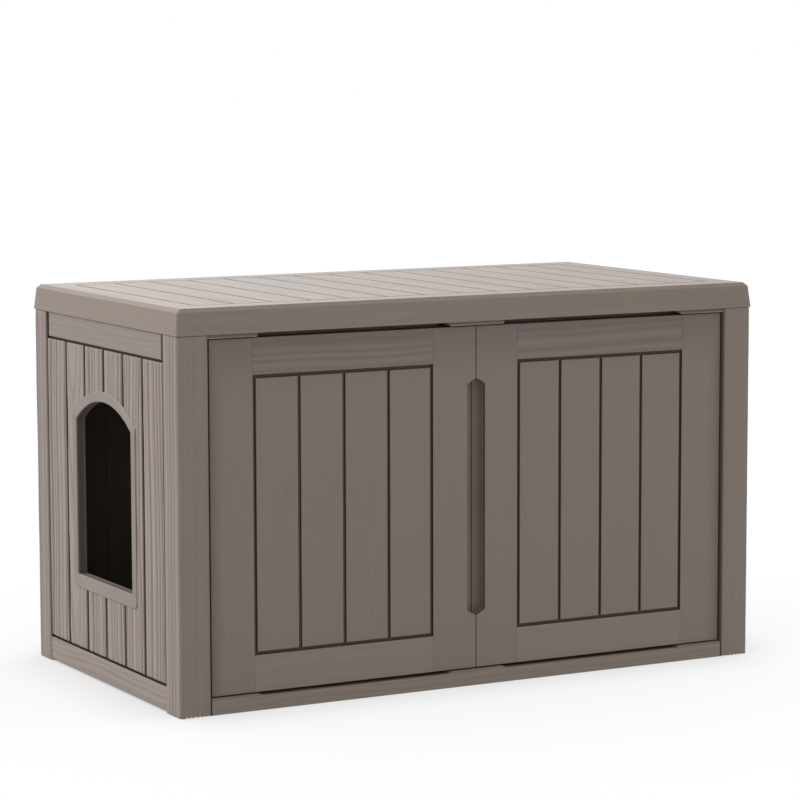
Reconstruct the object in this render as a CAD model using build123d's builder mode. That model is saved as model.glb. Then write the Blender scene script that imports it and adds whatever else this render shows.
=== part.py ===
from build123d import *
import os
from math import sqrt

# Resin litter box enclosure: four corner posts, planked walls between grooved rails, an arched cat
# doorway in the left wall, two front doors on pivot pins with a shared finger pull, and a planked lid
# hinged along its rear edge.
# Frame: millimetres, origin on the floor under the centre, +X right, +Y to the back, +Z up.

# Cabinet
cabinet_width = 910.0  # across the outer faces of the posts
cabinet_depth = 498.0
post_height = 511.0  # floor to the shoulder that the lid closes on
fit = 0.3  # slip clearance between pieces that slot together
press_clearance = 0.02  # radial, pins and screws held fast
running_clearance = 0.06  # radial, pins that turn
overrun = 4.0  # how far a cut runs past the face that it opens

# Corner posts
post_front = 43.5  # width of the face seen from the front
post_side = 46.0  # width of the face seen from the side
post_wall = 3.5
post_radius = 5.0
foot_tooth_height = 2.4
foot_tooth_count = 6  # across the foot of a front post's face
tooth_middle_share = 0.5  # of a tooth's pitch
plug_inset = 6.0  # the plug above the shoulder stands this far inside the post
plug_height = 20.0
plug_wall = 3.0

# Wall panels
panel_recess = 0.6  # plank faces behind the post faces
plank_rise = 3.0
panel_sheet = 4.0
tongue_reach = 7.0
shadow_gap = 5.2  # beside and under the planks
top_shadow_gap = 3.9  # over the planks
pocket_depth = 2.5
pocket_margin = 6.0
side_plank_count = 6
back_plank_count = 12

# Wall rails
base_rail_height = 33.2
top_rail_height = 35.0
rail_depth = 14.0
rail_recess = 0.6  # rail faces behind the post faces
rail_end_gap = 3.0  # shadow line between a rail's end and the post
rail_wall = 3.5
rail_web = 5.0
base_rail_lift = 2.0  # clear of the floor
tenon_thickness = 8.0
tenon_height = 12.0
tenon_reach = 7.0

# Cat doorway in the left wall
arch_half_width = 95.5
arch_sill_rise = 109.3  # base rail up to the doorway's sill
arch_crown_drop = 76.7  # top rail down to the doorway's crown
arch_radius = 158.5
trim_width = 14.6
trim_sill_width = 19.5
trim_corner = 10.0
trim_rise = 2.6  # proud of the planks
trim_round = 1.2
tunnel_wall = 3.0
tunnel_depth = 11.0  # inward from the plank faces
retainer_width = 12.0
retainer_thickness = 3.0

# Front sill and header
sill_height = 20.0
sill_depth = 38.0
sill_wall = 3.5
sill_pad_rise = 2.6
header_height = 20.0
header_depth = 40.0
header_recess = 5.0  # behind the post faces, clear of the lid's skirt
header_wall = 3.5
header_pad_drop = 5.2
header_pad_reach = 4.0  # how far the foot of a header pad stands out
header_pad_lip = 1.2  # upright edge under the pad's ramp
pad_reach = 77.5  # outer pads, from the post inward
pad_half = 46.0  # middle pads, from the centre outward
pad_slope = 4.5
pad_bevel = 1.8
stop_rise = 8.0
stop_thickness = 4.0
stop_gap = 1.5
header_stop_drop = 14.0  # how far the header's stops hang behind the doors
header_stop_margin = 1.0  # beside the catch
header_stop_inset = 44.0  # from the door pivots, clear of the hinge edges

# Doors
door_recess = 4.8
door_thickness = 22.0
door_seam = 1.5
door_side_gap = 4.0
door_top_gap = 1.3
door_bottom_gap = 1.7
door_wall = 4.0
door_skin = 6.5
door_edge_round = 1.2
stile_width = 68.0  # door edge to the middle of the groove
door_rail_top = 52.5
door_rail_bottom = 52.8
door_plank_count = 4
door_groove_width = 4.8
door_groove_depth = 3.0
door_pocket_depth = 2.5
door_rib_thickness = 3.0
door_rib_height = 10.0
door_rib_count = 3

# Finger pull across the seam
pull_half_width = 14.2
pull_low_margin = 82.0  # door's lower edge up to the lower shoulder
pull_high_margin = 80.5  # door's upper edge down to the upper shoulder
pull_point_rise = 8.3
pull_depth = 13.0
pull_wall = 3.5

# Door pivots
pivot_inset = 18.0  # from the door's outer edge
pivot_setback = 11.0  # behind the door's front face
pivot_pin_radius = 4.0
pivot_pin_grip = 26.0  # length held in the door
pivot_pin_reach = 12.0  # length in the bush, past the door's end
pivot_pin_chamfer = 0.8
pivot_boss_radius = 9.5
pivot_boss_length = 32.0
bush_wall = 2.0
bush_flange_wall = 3.2
bush_flange_thickness = 0.9
bush_length = 14.0
bush_boss_wall = 3.0

# Magnetic catch and strike plates
strike_width = 30.0
strike_height = 28.0
strike_thickness = 1.2
strike_centre = 27.0  # from the seam
strike_top_inset = 3.0
strike_screw_inset = 7.0  # above the plate's lower edge
strike_boss_margin = 3.0
catch_half_width = 37.5
catch_ear = 8.6
catch_ear_thickness = 4.0
catch_depth = 14.0
catch_height = 22.0
catch_gap = 0.3  # magnet face to strike plate
magnet_proud = 0.5
magnet_width = 16.0
magnet_height = 10.0
magnet_depth = 8.0
magnet_lift = 1.5  # above the catch's lower face

# Screws
screw_radius = 2.0
screw_head_radius = 4.0
screw_head_height = 1.6
screw_grip = 10.0
screw_boss_wall = 2.6

# Floor panel
floor_height = 14.5
floor_skin = 4.0
floor_rim = 3.0
floor_rib = 3.0
floor_rib_columns = 7
floor_rib_rows = 3
floor_margin = 1.0
floor_screw_share = 0.25  # of a bay, to each side of its middle

# Lid
lid_height = 35.7
lid_gap = 0.3  # above the post shoulders
lid_overhang = 2.0
lid_lean = 3.7  # how far the skirt leans in over its height
lid_skin = 4.0
lid_skirt = 4.0
lid_corner = 2.5
lid_inner_corner = 1.0  # also where the bevel meets the top
lid_bevel = 5.0
lid_border = 46.0  # post faces to the middle of the border groove
lid_plank_count = 14
lid_groove_width = 3.0
lid_groove_depth = 2.0
lid_rib = 3.0
lid_rib_height = 10.0
lid_rib_columns = 9
lid_rib_rows = 4

# Lid hinges
hinge_radius = 3.5
hinge_spacing = 300.0
hinge_count = 3
hinge_pin_radius = 1.6
lid_knuckle = 34.0
base_knuckle = 18.0
knuckle_gap = 0.5
hinge_clearance = 0.8
hinge_block_margin = 5.0
hinge_block_height = 11.0

# Places worked out from the sizes above
half_width = cabinet_width / 2
half_depth = cabinet_depth / 2
side_bay = cabinet_depth - 2 * post_side
back_bay = cabinet_width - 2 * post_front
sheet_front = panel_recess + plank_rise
sheet_back = sheet_front + panel_sheet
groove_depth = tongue_reach + fit
mortise_depth = tenon_reach + fit
post_inner_wall = max(groove_depth, mortise_depth) + post_wall
grooved_flange = groove_depth + rail_wall
base_channel_height = base_rail_height - rail_wall - grooved_flange
top_channel_height = top_rail_height - rail_wall - grooved_flange
base_rail_top = base_rail_lift + base_rail_height
top_rail_bottom = post_height - top_rail_height
base_channel_middle = base_rail_lift + rail_wall + base_channel_height / 2
top_channel_middle = post_height - rail_wall - top_channel_height / 2
tenon_middle = rail_recess + rail_depth / 2
sheet_bottom = base_rail_top - tongue_reach
sheet_top = top_rail_bottom + tongue_reach
wall_middle = (base_rail_top + top_rail_bottom) / 2
plank_bottom = base_rail_top + shadow_gap
plank_top = top_rail_bottom - top_shadow_gap
plank_height = plank_top - plank_bottom
plank_middle = (plank_top + plank_bottom) / 2
arch_sill = base_rail_top + arch_sill_rise
arch_crown = top_rail_bottom - arch_crown_drop
arch_centre = arch_crown - arch_radius
door_front = -half_depth + door_recess
door_back = door_front + door_thickness
door_width = (back_bay - 2 * door_side_gap - door_seam) / 2
door_bottom = sill_height + sill_pad_rise + door_bottom_gap
door_top = post_height - header_pad_drop - door_top_gap
door_height = door_top - door_bottom
door_middle = (door_top + door_bottom) / 2
pull_shoulder_low = door_bottom + pull_low_margin
pull_shoulder_high = door_top - pull_high_margin
field_bottom = door_bottom + door_rail_bottom
field_top = door_top - door_rail_top
field_height = field_top - field_bottom
field_middle = (field_top + field_bottom) / 2
field_width = door_width - 2 * stile_width
door_plank_pitch = field_width / door_plank_count
pivot_x = back_bay / 2 - door_side_gap - pivot_inset
pivot_y = door_front + pivot_setback
bush_radius = pivot_pin_radius + running_clearance + bush_wall
bush_flange_radius = bush_radius + bush_flange_wall - bush_wall
bush_boss_radius = bush_radius + press_clearance + bush_boss_wall
header_front = -half_depth + header_recess
header_middle = header_front + header_depth / 2
header_pad_front = header_front - header_pad_reach
header_pad_bottom = post_height - header_pad_drop
header_tenon_z = post_height + header_height / 2
header_tenon_reach = plug_inset + plug_wall + fit
front_rail_length = back_bay - 2 * fit
header_tenon_x = (front_rail_length + fit + header_tenon_reach - rail_web) / 2
sill_tenon_x = (front_rail_length + fit + tenon_reach - rail_web) / 2
sill_tenon_y = -half_depth + sill_depth / 2
sill_tenon_z = (sill_height - sill_wall) / 2
sill_tenon_height = sill_height - 3 * sill_wall
strike_top = door_top - strike_top_inset
strike_middle = strike_top - strike_height / 2
strike_back = door_back + strike_thickness
catch_front = strike_back + catch_gap + magnet_proud
catch_bottom = post_height - catch_height
catch_screw_x = catch_half_width + catch_ear / 2
catch_screw_y = catch_front + catch_depth / 2
screw_hole_radius = screw_radius + press_clearance
screw_boss_radius = screw_radius + screw_boss_wall
floor_bottom = base_rail_lift + rail_wall
floor_screw_middle = rail_recess + rail_wall + (rail_depth - rail_wall) / 2
lid_bottom = post_height + lid_gap
lid_top = lid_bottom + lid_height
hinge_y = half_depth + lid_overhang - hinge_radius
hinge_z = post_height
hinge_length = lid_knuckle + 2 * knuckle_gap + 2 * base_knuckle
header_stop_inner = catch_half_width + catch_ear + header_stop_margin
header_stop_outer = pivot_x - header_stop_inset
header_stop_length = header_stop_outer - header_stop_inner
header_stop_x = (header_stop_outer + header_stop_inner) / 2

front_plane = Plane(origin=(0, -half_depth, 0), x_dir=(1, 0, 0), z_dir=(0, -1, 0))
door_plane = front_plane.offset(-door_recess)
wall_planes = {
    "left": Plane(origin=(-half_width, 0, 0), x_dir=(0, -1, 0), z_dir=(-1, 0, 0)),
    "right": Plane(origin=(half_width, 0, 0), x_dir=(0, 1, 0), z_dir=(1, 0, 0)),
    "back": Plane(origin=(0, half_depth, 0), x_dir=(-1, 0, 0), z_dir=(0, 1, 0)),
}
bays = {"left": side_bay, "right": side_bay, "back": back_bay}
plank_counts = {"left": side_plank_count, "right": side_plank_count, "back": back_plank_count}
sides = {"left": -1, "right": 1}
hinge_places = [hinge_spacing * (i - (hinge_count - 1) / 2) for i in range(hinge_count)]

os.makedirs("parts", exist_ok=True)


def save(builder, name):
    """Labels a finished piece and writes it under its own name."""
    builder.part.label = name
    export_step(builder.part, f"parts/{name}.step")


def arch_face(grow, sill_drop, corner=0.0):
    """Arch outline of the cat doorway, grown outward, its sill dropped and its lower corners rounded."""
    half = arch_half_width + grow
    radius = arch_radius + grow
    sill = arch_sill - sill_drop
    shoulder = arch_centre + sqrt(radius**2 - half**2)
    with BuildSketch() as arch:
        with BuildLine():
            Polyline((-half, shoulder), (-half, sill), (half, sill), (half, shoulder))
            ThreePointArc((half, shoulder), (0, arch_centre + radius), (-half, shoulder))
        make_face()
        if corner:
            fillet(arch.vertices().group_by(Axis.Y)[0], radius=corner)
    return arch.sketch


doorway = arch_face(0, 0)
tunnel_outline = arch_face(tunnel_wall, tunnel_wall)
tunnel_hole = arch_face(tunnel_wall + fit, tunnel_wall + fit)
trim_outline = arch_face(trim_width, trim_sill_width, trim_corner)
retainer_outline = arch_face(tunnel_wall + retainer_width, tunnel_wall + retainer_width, trim_corner)


def corner_post(name, to_x, to_y):
    """Hollow post with a plug on top, grooved for the panels and mortised for the rails."""
    middle_x = to_x * (half_width - post_front / 2)
    middle_y = to_y * (half_depth - post_side / 2)
    cavity_x = post_front - post_wall - post_inner_wall
    cavity_y = post_side - post_wall - post_inner_wall
    side_groove_y = to_y * (side_bay / 2 + (groove_depth - overrun) / 2)
    side_mortise_y = to_y * (side_bay / 2 + (mortise_depth - overrun) / 2)
    groove_x = to_x * (back_bay / 2 + (groove_depth - overrun) / 2)
    mortise_x = to_x * (back_bay / 2 + (mortise_depth - overrun) / 2)
    sheet_middle = (sheet_front + sheet_back) / 2
    groove_width = panel_sheet + 2 * fit
    groove_height = sheet_top - sheet_bottom + 2 * fit
    mortise_width = tenon_thickness + 2 * fit
    mortise_height = tenon_height + 2 * fit
    tooth_pitch = (post_front - post_radius) / foot_tooth_count
    with BuildPart() as post:
        with BuildSketch() as outline:
            with Locations((middle_x, middle_y)):
                Rectangle(post_front, post_side)
            fillet(outline.vertices().sort_by_distance((0, 0))[-1], radius=post_radius)
        extrude(amount=post_height)
        with BuildSketch(Plane.XY.offset(post_height)):
            with Locations((middle_x, middle_y)):
                Rectangle(post_front - 2 * plug_inset, post_side - 2 * plug_inset)
        extrude(amount=plug_height)
        with BuildSketch():
            with Locations(
                (
                    to_x * (half_width - post_wall - cavity_x / 2),
                    to_y * (half_depth - post_wall - cavity_y / 2),
                )
            ):
                Rectangle(cavity_x, cavity_y)
        extrude(amount=post_height - post_wall, mode=Mode.SUBTRACT)
        with BuildSketch(Plane.XY.offset(post_height - post_wall)):
            with Locations((middle_x, middle_y)):
                Rectangle(
                    post_front - 2 * (plug_inset + plug_wall),
                    post_side - 2 * (plug_inset + plug_wall),
                )
        extrude(amount=post_wall + plug_height, mode=Mode.SUBTRACT)
        with Locations((to_x * (half_width - sheet_middle), side_groove_y, wall_middle)):
            Box(groove_width, groove_depth + overrun, groove_height, mode=Mode.SUBTRACT)
        with Locations(
            (to_x * (half_width - tenon_middle), side_mortise_y, base_channel_middle),
            (to_x * (half_width - tenon_middle), side_mortise_y, top_channel_middle),
        ):
            Box(mortise_width, mortise_depth + overrun, mortise_height, mode=Mode.SUBTRACT)
        if to_y > 0:
            with Locations((groove_x, half_depth - sheet_middle, wall_middle)):
                Box(groove_depth + overrun, groove_width, groove_height, mode=Mode.SUBTRACT)
            with Locations(
                (mortise_x, half_depth - tenon_middle, base_channel_middle),
                (mortise_x, half_depth - tenon_middle, top_channel_middle),
            ):
                Box(mortise_depth + overrun, mortise_width, mortise_height, mode=Mode.SUBTRACT)
            # room for the lid's rear edge as it swings under the hinge line
            with Locations((middle_x, hinge_y - hinge_clearance, hinge_z)):
                Box(
                    post_front,
                    hinge_radius + hinge_clearance + overrun,
                    2 * (hinge_radius + hinge_clearance),
                    align=(Align.CENTER, Align.MIN, Align.CENTER),
                    mode=Mode.SUBTRACT,
                )
        else:
            with Locations((mortise_x, sill_tenon_y, sill_tenon_z)):
                Box(
                    mortise_depth + overrun,
                    mortise_width,
                    sill_tenon_height + 2 * fit,
                    mode=Mode.SUBTRACT,
                )
            with Locations((to_x * (back_bay / 2 + plug_inset), header_middle, header_tenon_z)):
                Box(2 * (plug_wall + fit), mortise_width, mortise_height, mode=Mode.SUBTRACT)
            # toothed foot of the front face
            with BuildSketch(front_plane):
                for i in range(foot_tooth_count):
                    notch = to_x * (back_bay / 2 + (i + tooth_middle_share) * tooth_pitch)
                    with BuildLine():
                        Polyline(
                            (notch - tooth_pitch / 2, 0),
                            (notch, foot_tooth_height),
                            (notch + tooth_pitch / 2, 0),
                            close=True,
                        )
                    make_face()
            extrude(amount=-post_wall, mode=Mode.SUBTRACT)
    save(post, name)


corner_post("post_front_left", -1, -1)
corner_post("post_front_right", 1, -1)
corner_post("post_rear_left", -1, 1)
corner_post("post_rear_right", 1, 1)


def wall_panel(name, wall, has_doorway):
    """Tongued sheet with raised planks, pocketed behind each plank."""
    plane = wall_planes[wall]
    bay = bays[wall]
    count = plank_counts[wall]
    pitch = (bay - shadow_gap) / count
    with BuildPart() as panel:
        with BuildSketch(plane.offset(-sheet_back)):
            with Locations((0, wall_middle)):
                Rectangle(bay + 2 * tongue_reach, sheet_top - sheet_bottom)
        extrude(amount=panel_sheet)
        with BuildSketch(plane.offset(-sheet_front)):
            with Locations((0, plank_middle)):
                with GridLocations(pitch, plank_height, count, 1):
                    Rectangle(pitch - shadow_gap, plank_height)
        extrude(amount=plank_rise)
        with BuildSketch(plane.offset(-sheet_back)):
            with Locations((0, plank_middle)):
                with GridLocations(pitch, plank_height, count, 1):
                    Rectangle(
                        pitch - shadow_gap - 2 * pocket_margin,
                        plank_height - 2 * pocket_margin,
                    )
            if has_doorway:
                add(retainer_outline, mode=Mode.SUBTRACT)
        extrude(amount=pocket_depth, mode=Mode.SUBTRACT)
        if has_doorway:
            with BuildSketch(plane.offset(-sheet_back - overrun)):
                add(tunnel_hole)
            extrude(amount=sheet_back + 2 * overrun, mode=Mode.SUBTRACT)
    save(panel, name)


wall_panel("side_panel_left", "left", True)
wall_panel("side_panel_right", "right", False)
wall_panel("back_panel", "back", False)


def floor_screw_places(bay):
    """Places along a base rail where a screw holds the floor panel."""
    return [-floor_screw_share * bay, floor_screw_share * bay]


def wall_point(wall, along, depth):
    """Plan position of a point on a wall, from its distance along and behind the outer face."""
    point = wall_planes[wall].from_local_coords((along, 0, -depth))
    return (point.X, point.Y)


def add_base_knuckles():
    """Hinge blocks, relief and knuckles along the back top rail."""
    block_length = hinge_length + 2 * hinge_block_margin
    knuckle_x = lid_knuckle / 2 + knuckle_gap + base_knuckle / 2
    rail_back = half_depth - rail_recess
    with Locations(*[(x, rail_back, hinge_z) for x in hinge_places]):
        Box(block_length, rail_depth, hinge_block_height, align=(Align.CENTER, Align.MAX, Align.MAX))
    with Locations((0, hinge_y - hinge_clearance, hinge_z)):
        Box(
            back_bay,
            hinge_radius + hinge_clearance + overrun,
            2 * (hinge_radius + hinge_clearance),
            align=(Align.CENTER, Align.MIN, Align.CENTER),
            mode=Mode.SUBTRACT,
        )
    with Locations(*[(x, hinge_y, hinge_z) for x in hinge_places]):
        with Locations((-knuckle_x, 0, 0), (knuckle_x, 0, 0)):
            Cylinder(hinge_radius, base_knuckle, rotation=(0, 90, 0))
        Box(
            lid_knuckle + 2 * knuckle_gap,
            2 * (hinge_radius + hinge_clearance),
            2 * (hinge_radius + hinge_clearance),
            mode=Mode.SUBTRACT,
        )
        Cylinder(
            hinge_pin_radius + press_clearance,
            hinge_length,
            rotation=(0, 90, 0),
            mode=Mode.SUBTRACT,
        )


def wall_rail(name, wall, at_base):
    """Channel rail with a groove for the panel's tongue and a tenon at each end."""
    plane = wall_planes[wall]
    bay = bays[wall]
    length = bay - 2 * rail_end_gap
    bottom = base_rail_lift if at_base else top_rail_bottom
    height = base_rail_height if at_base else top_rail_height
    channel_height = base_channel_height if at_base else top_channel_height
    channel_middle = base_channel_middle if at_base else top_channel_middle
    groove_edge = base_rail_top if at_base else top_rail_bottom
    groove_way = 1 if at_base else -1
    tenon_length = rail_web + rail_end_gap + tenon_reach
    tenon_x = length / 2 - rail_web + tenon_length / 2
    with BuildPart() as rail:
        with BuildSketch(plane.offset(-rail_recess)):
            with Locations((0, bottom + height / 2)):
                Rectangle(length, height)
        extrude(amount=-rail_depth)
        with BuildSketch(plane.offset(-rail_recess - rail_depth)):
            with Locations((0, channel_middle)):
                Rectangle(length - 2 * rail_web, channel_height)
        extrude(amount=rail_depth - rail_wall, mode=Mode.SUBTRACT)
        with BuildSketch(plane.offset(-sheet_back - fit)):
            with Locations((0, groove_edge + groove_way * (overrun - groove_depth) / 2)):
                Rectangle(bay, groove_depth + overrun)
        extrude(amount=panel_sheet + 2 * fit, mode=Mode.SUBTRACT)
        with BuildSketch(plane.offset(-tenon_middle + tenon_thickness / 2)):
            with Locations((-tenon_x, channel_middle), (tenon_x, channel_middle)):
                Rectangle(tenon_length, tenon_height)
        extrude(amount=-tenon_thickness)
        if at_base:
            # counterbored holes in the lower flange for the floor screws
            for along in floor_screw_places(bay):
                with BuildSketch(Plane.XY.offset(base_rail_lift)):
                    with Locations(wall_point(wall, along, floor_screw_middle)):
                        Circle(screw_hole_radius)
                extrude(amount=rail_wall, mode=Mode.SUBTRACT)
                with BuildSketch(Plane.XY.offset(base_rail_lift)):
                    with Locations(wall_point(wall, along, floor_screw_middle)):
                        Circle(screw_head_radius + fit)
                extrude(amount=screw_head_height + fit, mode=Mode.SUBTRACT)
        elif wall == "back":
            add_base_knuckles()
    save(rail, name)


for wall_name in wall_planes:
    wall_rail(f"base_rail_{wall_name}", wall_name, True)
    wall_rail(f"top_rail_{wall_name}", wall_name, False)

with BuildPart() as entry_frame:
    with BuildSketch(wall_planes["left"].offset(-panel_recess)):
        add(trim_outline)
        add(doorway, mode=Mode.SUBTRACT)
    extrude(amount=trim_rise)
    front_edges = entry_frame.faces().sort_by(Axis.X)[0].edges()
    fillet(front_edges, radius=trim_round)
    with BuildSketch(wall_planes["left"].offset(-panel_recess)):
        add(tunnel_outline)
        add(doorway, mode=Mode.SUBTRACT)
    extrude(amount=-tunnel_depth)
save(entry_frame, "entry_frame")

with BuildPart() as entry_retainer:
    with BuildSketch(wall_planes["left"].offset(-sheet_back)):
        add(retainer_outline)
        add(tunnel_hole, mode=Mode.SUBTRACT)
    extrude(amount=-retainer_thickness)
save(entry_retainer, "entry_retainer")


def pad_faces(edge, rise):
    """Sloped-end outlines of the three pads on a front rail, rising (or dropping) from its edge."""
    end = back_bay / 2 - fit
    inner = back_bay / 2 - pad_reach
    with BuildSketch() as pads:
        for side in sides.values():
            with BuildLine():
                Polyline(
                    (side * end, edge),
                    (side * inner, edge),
                    (side * (inner + pad_slope), edge + rise),
                    (side * end, edge + rise),
                    close=True,
                )
            make_face()
        with BuildLine():
            Polyline(
                (-pad_half, edge),
                (pad_half, edge),
                (pad_half - pad_slope, edge + rise),
                (-pad_half + pad_slope, edge + rise),
                close=True,
            )
        make_face()
    return pads.sketch


sill_pads = pad_faces(sill_height, sill_pad_rise)
header_pads = pad_faces(post_height, -header_pad_drop)
bush_places = [(-pivot_x, pivot_y), (pivot_x, pivot_y)]
catch_screw_places = [(-catch_screw_x, catch_screw_y), (catch_screw_x, catch_screw_y)]

with BuildPart() as sill_rail:
    with Locations((0, -half_depth, 0)):
        Box(
            front_rail_length,
            sill_depth,
            sill_height,
            align=(Align.CENTER, Align.MIN, Align.MIN),
        )
    with Locations((0, sill_tenon_y, 0)):
        Box(
            front_rail_length - 2 * rail_web,
            sill_depth - 2 * sill_wall,
            sill_height - sill_wall,
            align=(Align.CENTER, Align.CENTER, Align.MIN),
            mode=Mode.SUBTRACT,
        )
    with BuildSketch(front_plane):
        add(sill_pads)
    extrude(amount=-(door_recess + door_thickness))
    pad_edges = sill_rail.edges().filter_by(Axis.X).group_by(Axis.Z)[-1]
    chamfer(pad_edges.group_by(Axis.Y)[0], length=pad_bevel)
    with Locations((0, door_back + stop_gap, sill_height)):
        Box(
            2 * pad_half,
            stop_thickness,
            sill_pad_rise + door_bottom_gap + stop_rise,
            align=(Align.CENTER, Align.MIN, Align.MIN),
        )
    with BuildSketch():
        with Locations(*bush_places):
            Circle(bush_boss_radius)
    extrude(amount=sill_height)
    with BuildSketch(Plane.XY.offset(sill_height + sill_pad_rise)):
        with Locations(*bush_places):
            Circle(bush_radius + press_clearance)
    extrude(amount=-(bush_length + fit), mode=Mode.SUBTRACT)
    with Locations(*[(side * sill_tenon_x, sill_tenon_y, sill_tenon_z) for side in sides.values()]):
        Box(rail_web + fit + tenon_reach, tenon_thickness, sill_tenon_height)
save(sill_rail, "sill_rail")

with BuildPart() as header_rail:
    with Locations((0, header_front, post_height)):
        Box(
            front_rail_length,
            header_depth,
            header_height,
            align=(Align.CENTER, Align.MIN, Align.MIN),
        )
    with Locations((0, header_middle, post_height + header_wall)):
        Box(
            front_rail_length - 2 * rail_web,
            header_depth - 2 * header_wall,
            header_height,
            align=(Align.CENTER, Align.CENTER, Align.MIN),
            mode=Mode.SUBTRACT,
        )
    with BuildSketch(front_plane.offset(header_pad_reach - header_recess)):
        add(header_pads)
    extrude(amount=-(door_back - header_pad_front))
    # the pads ramp back from their feet to the header, under the lid's skirt
    with BuildSketch(Plane.YZ):
        with BuildLine():
            Polyline(
                (header_pad_front, header_pad_bottom + header_pad_lip),
                (header_pad_front, post_height),
                (header_front, post_height),
                close=True,
            )
        make_face()
    extrude(amount=back_bay / 2, both=True, mode=Mode.SUBTRACT)
    # stops behind the upper edges of the doors
    with Locations(
        (-header_stop_x, door_back + stop_gap, post_height + header_wall),
        (header_stop_x, door_back + stop_gap, post_height + header_wall),
    ):
        Box(
            header_stop_length,
            stop_thickness,
            header_wall + header_stop_drop,
            align=(Align.CENTER, Align.MIN, Align.MAX),
        )
    with BuildSketch(Plane.XY.offset(post_height)):
        with Locations(*bush_places):
            Circle(bush_boss_radius)
        with Locations(*catch_screw_places):
            Circle(screw_boss_radius)
    extrude(amount=header_height - header_wall)
    with BuildSketch(Plane.XY.offset(header_pad_bottom)):
        with Locations(*bush_places):
            Circle(bush_radius + press_clearance)
    extrude(amount=bush_length + fit, mode=Mode.SUBTRACT)
    with BuildSketch(Plane.XY.offset(post_height)):
        with Locations(*catch_screw_places):
            Circle(screw_hole_radius)
    extrude(amount=screw_grip + fit, mode=Mode.SUBTRACT)
    with Locations(*[(side * header_tenon_x, header_middle, header_tenon_z) for side in sides.values()]):
        Box(rail_web + fit + header_tenon_reach, tenon_thickness, tenon_height)
save(header_rail, "header_rail")


def hinge_bush(name, place, face, way):
    """Flanged bush pressed into a front rail's pad, with its flange on the door's side."""
    with BuildPart() as bush:
        with BuildSketch(Plane.XY.offset(face)):
            with Locations(place):
                Circle(bush_radius)
        extrude(amount=way * bush_length)
        with BuildSketch(Plane.XY.offset(face)):
            with Locations(place):
                Circle(bush_flange_radius)
        extrude(amount=-way * bush_flange_thickness)
        with BuildSketch(Plane.XY.offset(face - way * bush_flange_thickness)):
            with Locations(place):
                Circle(pivot_pin_radius + running_clearance)
        extrude(amount=way * (bush_length + bush_flange_thickness), mode=Mode.SUBTRACT)
    save(bush, name)


def pivot_pin(name, place, end, way):
    """Steel pin held in the door's boss, standing out of the door's end."""
    with BuildPart() as pin:
        with BuildSketch(Plane.XY.offset(end - way * pivot_pin_grip)):
            with Locations(place):
                Circle(pivot_pin_radius)
        extrude(amount=way * (pivot_pin_grip + pivot_pin_reach))
        chamfer(pin.edges().filter_by(GeomType.CIRCLE), length=pivot_pin_chamfer)
    save(pin, name)


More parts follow.
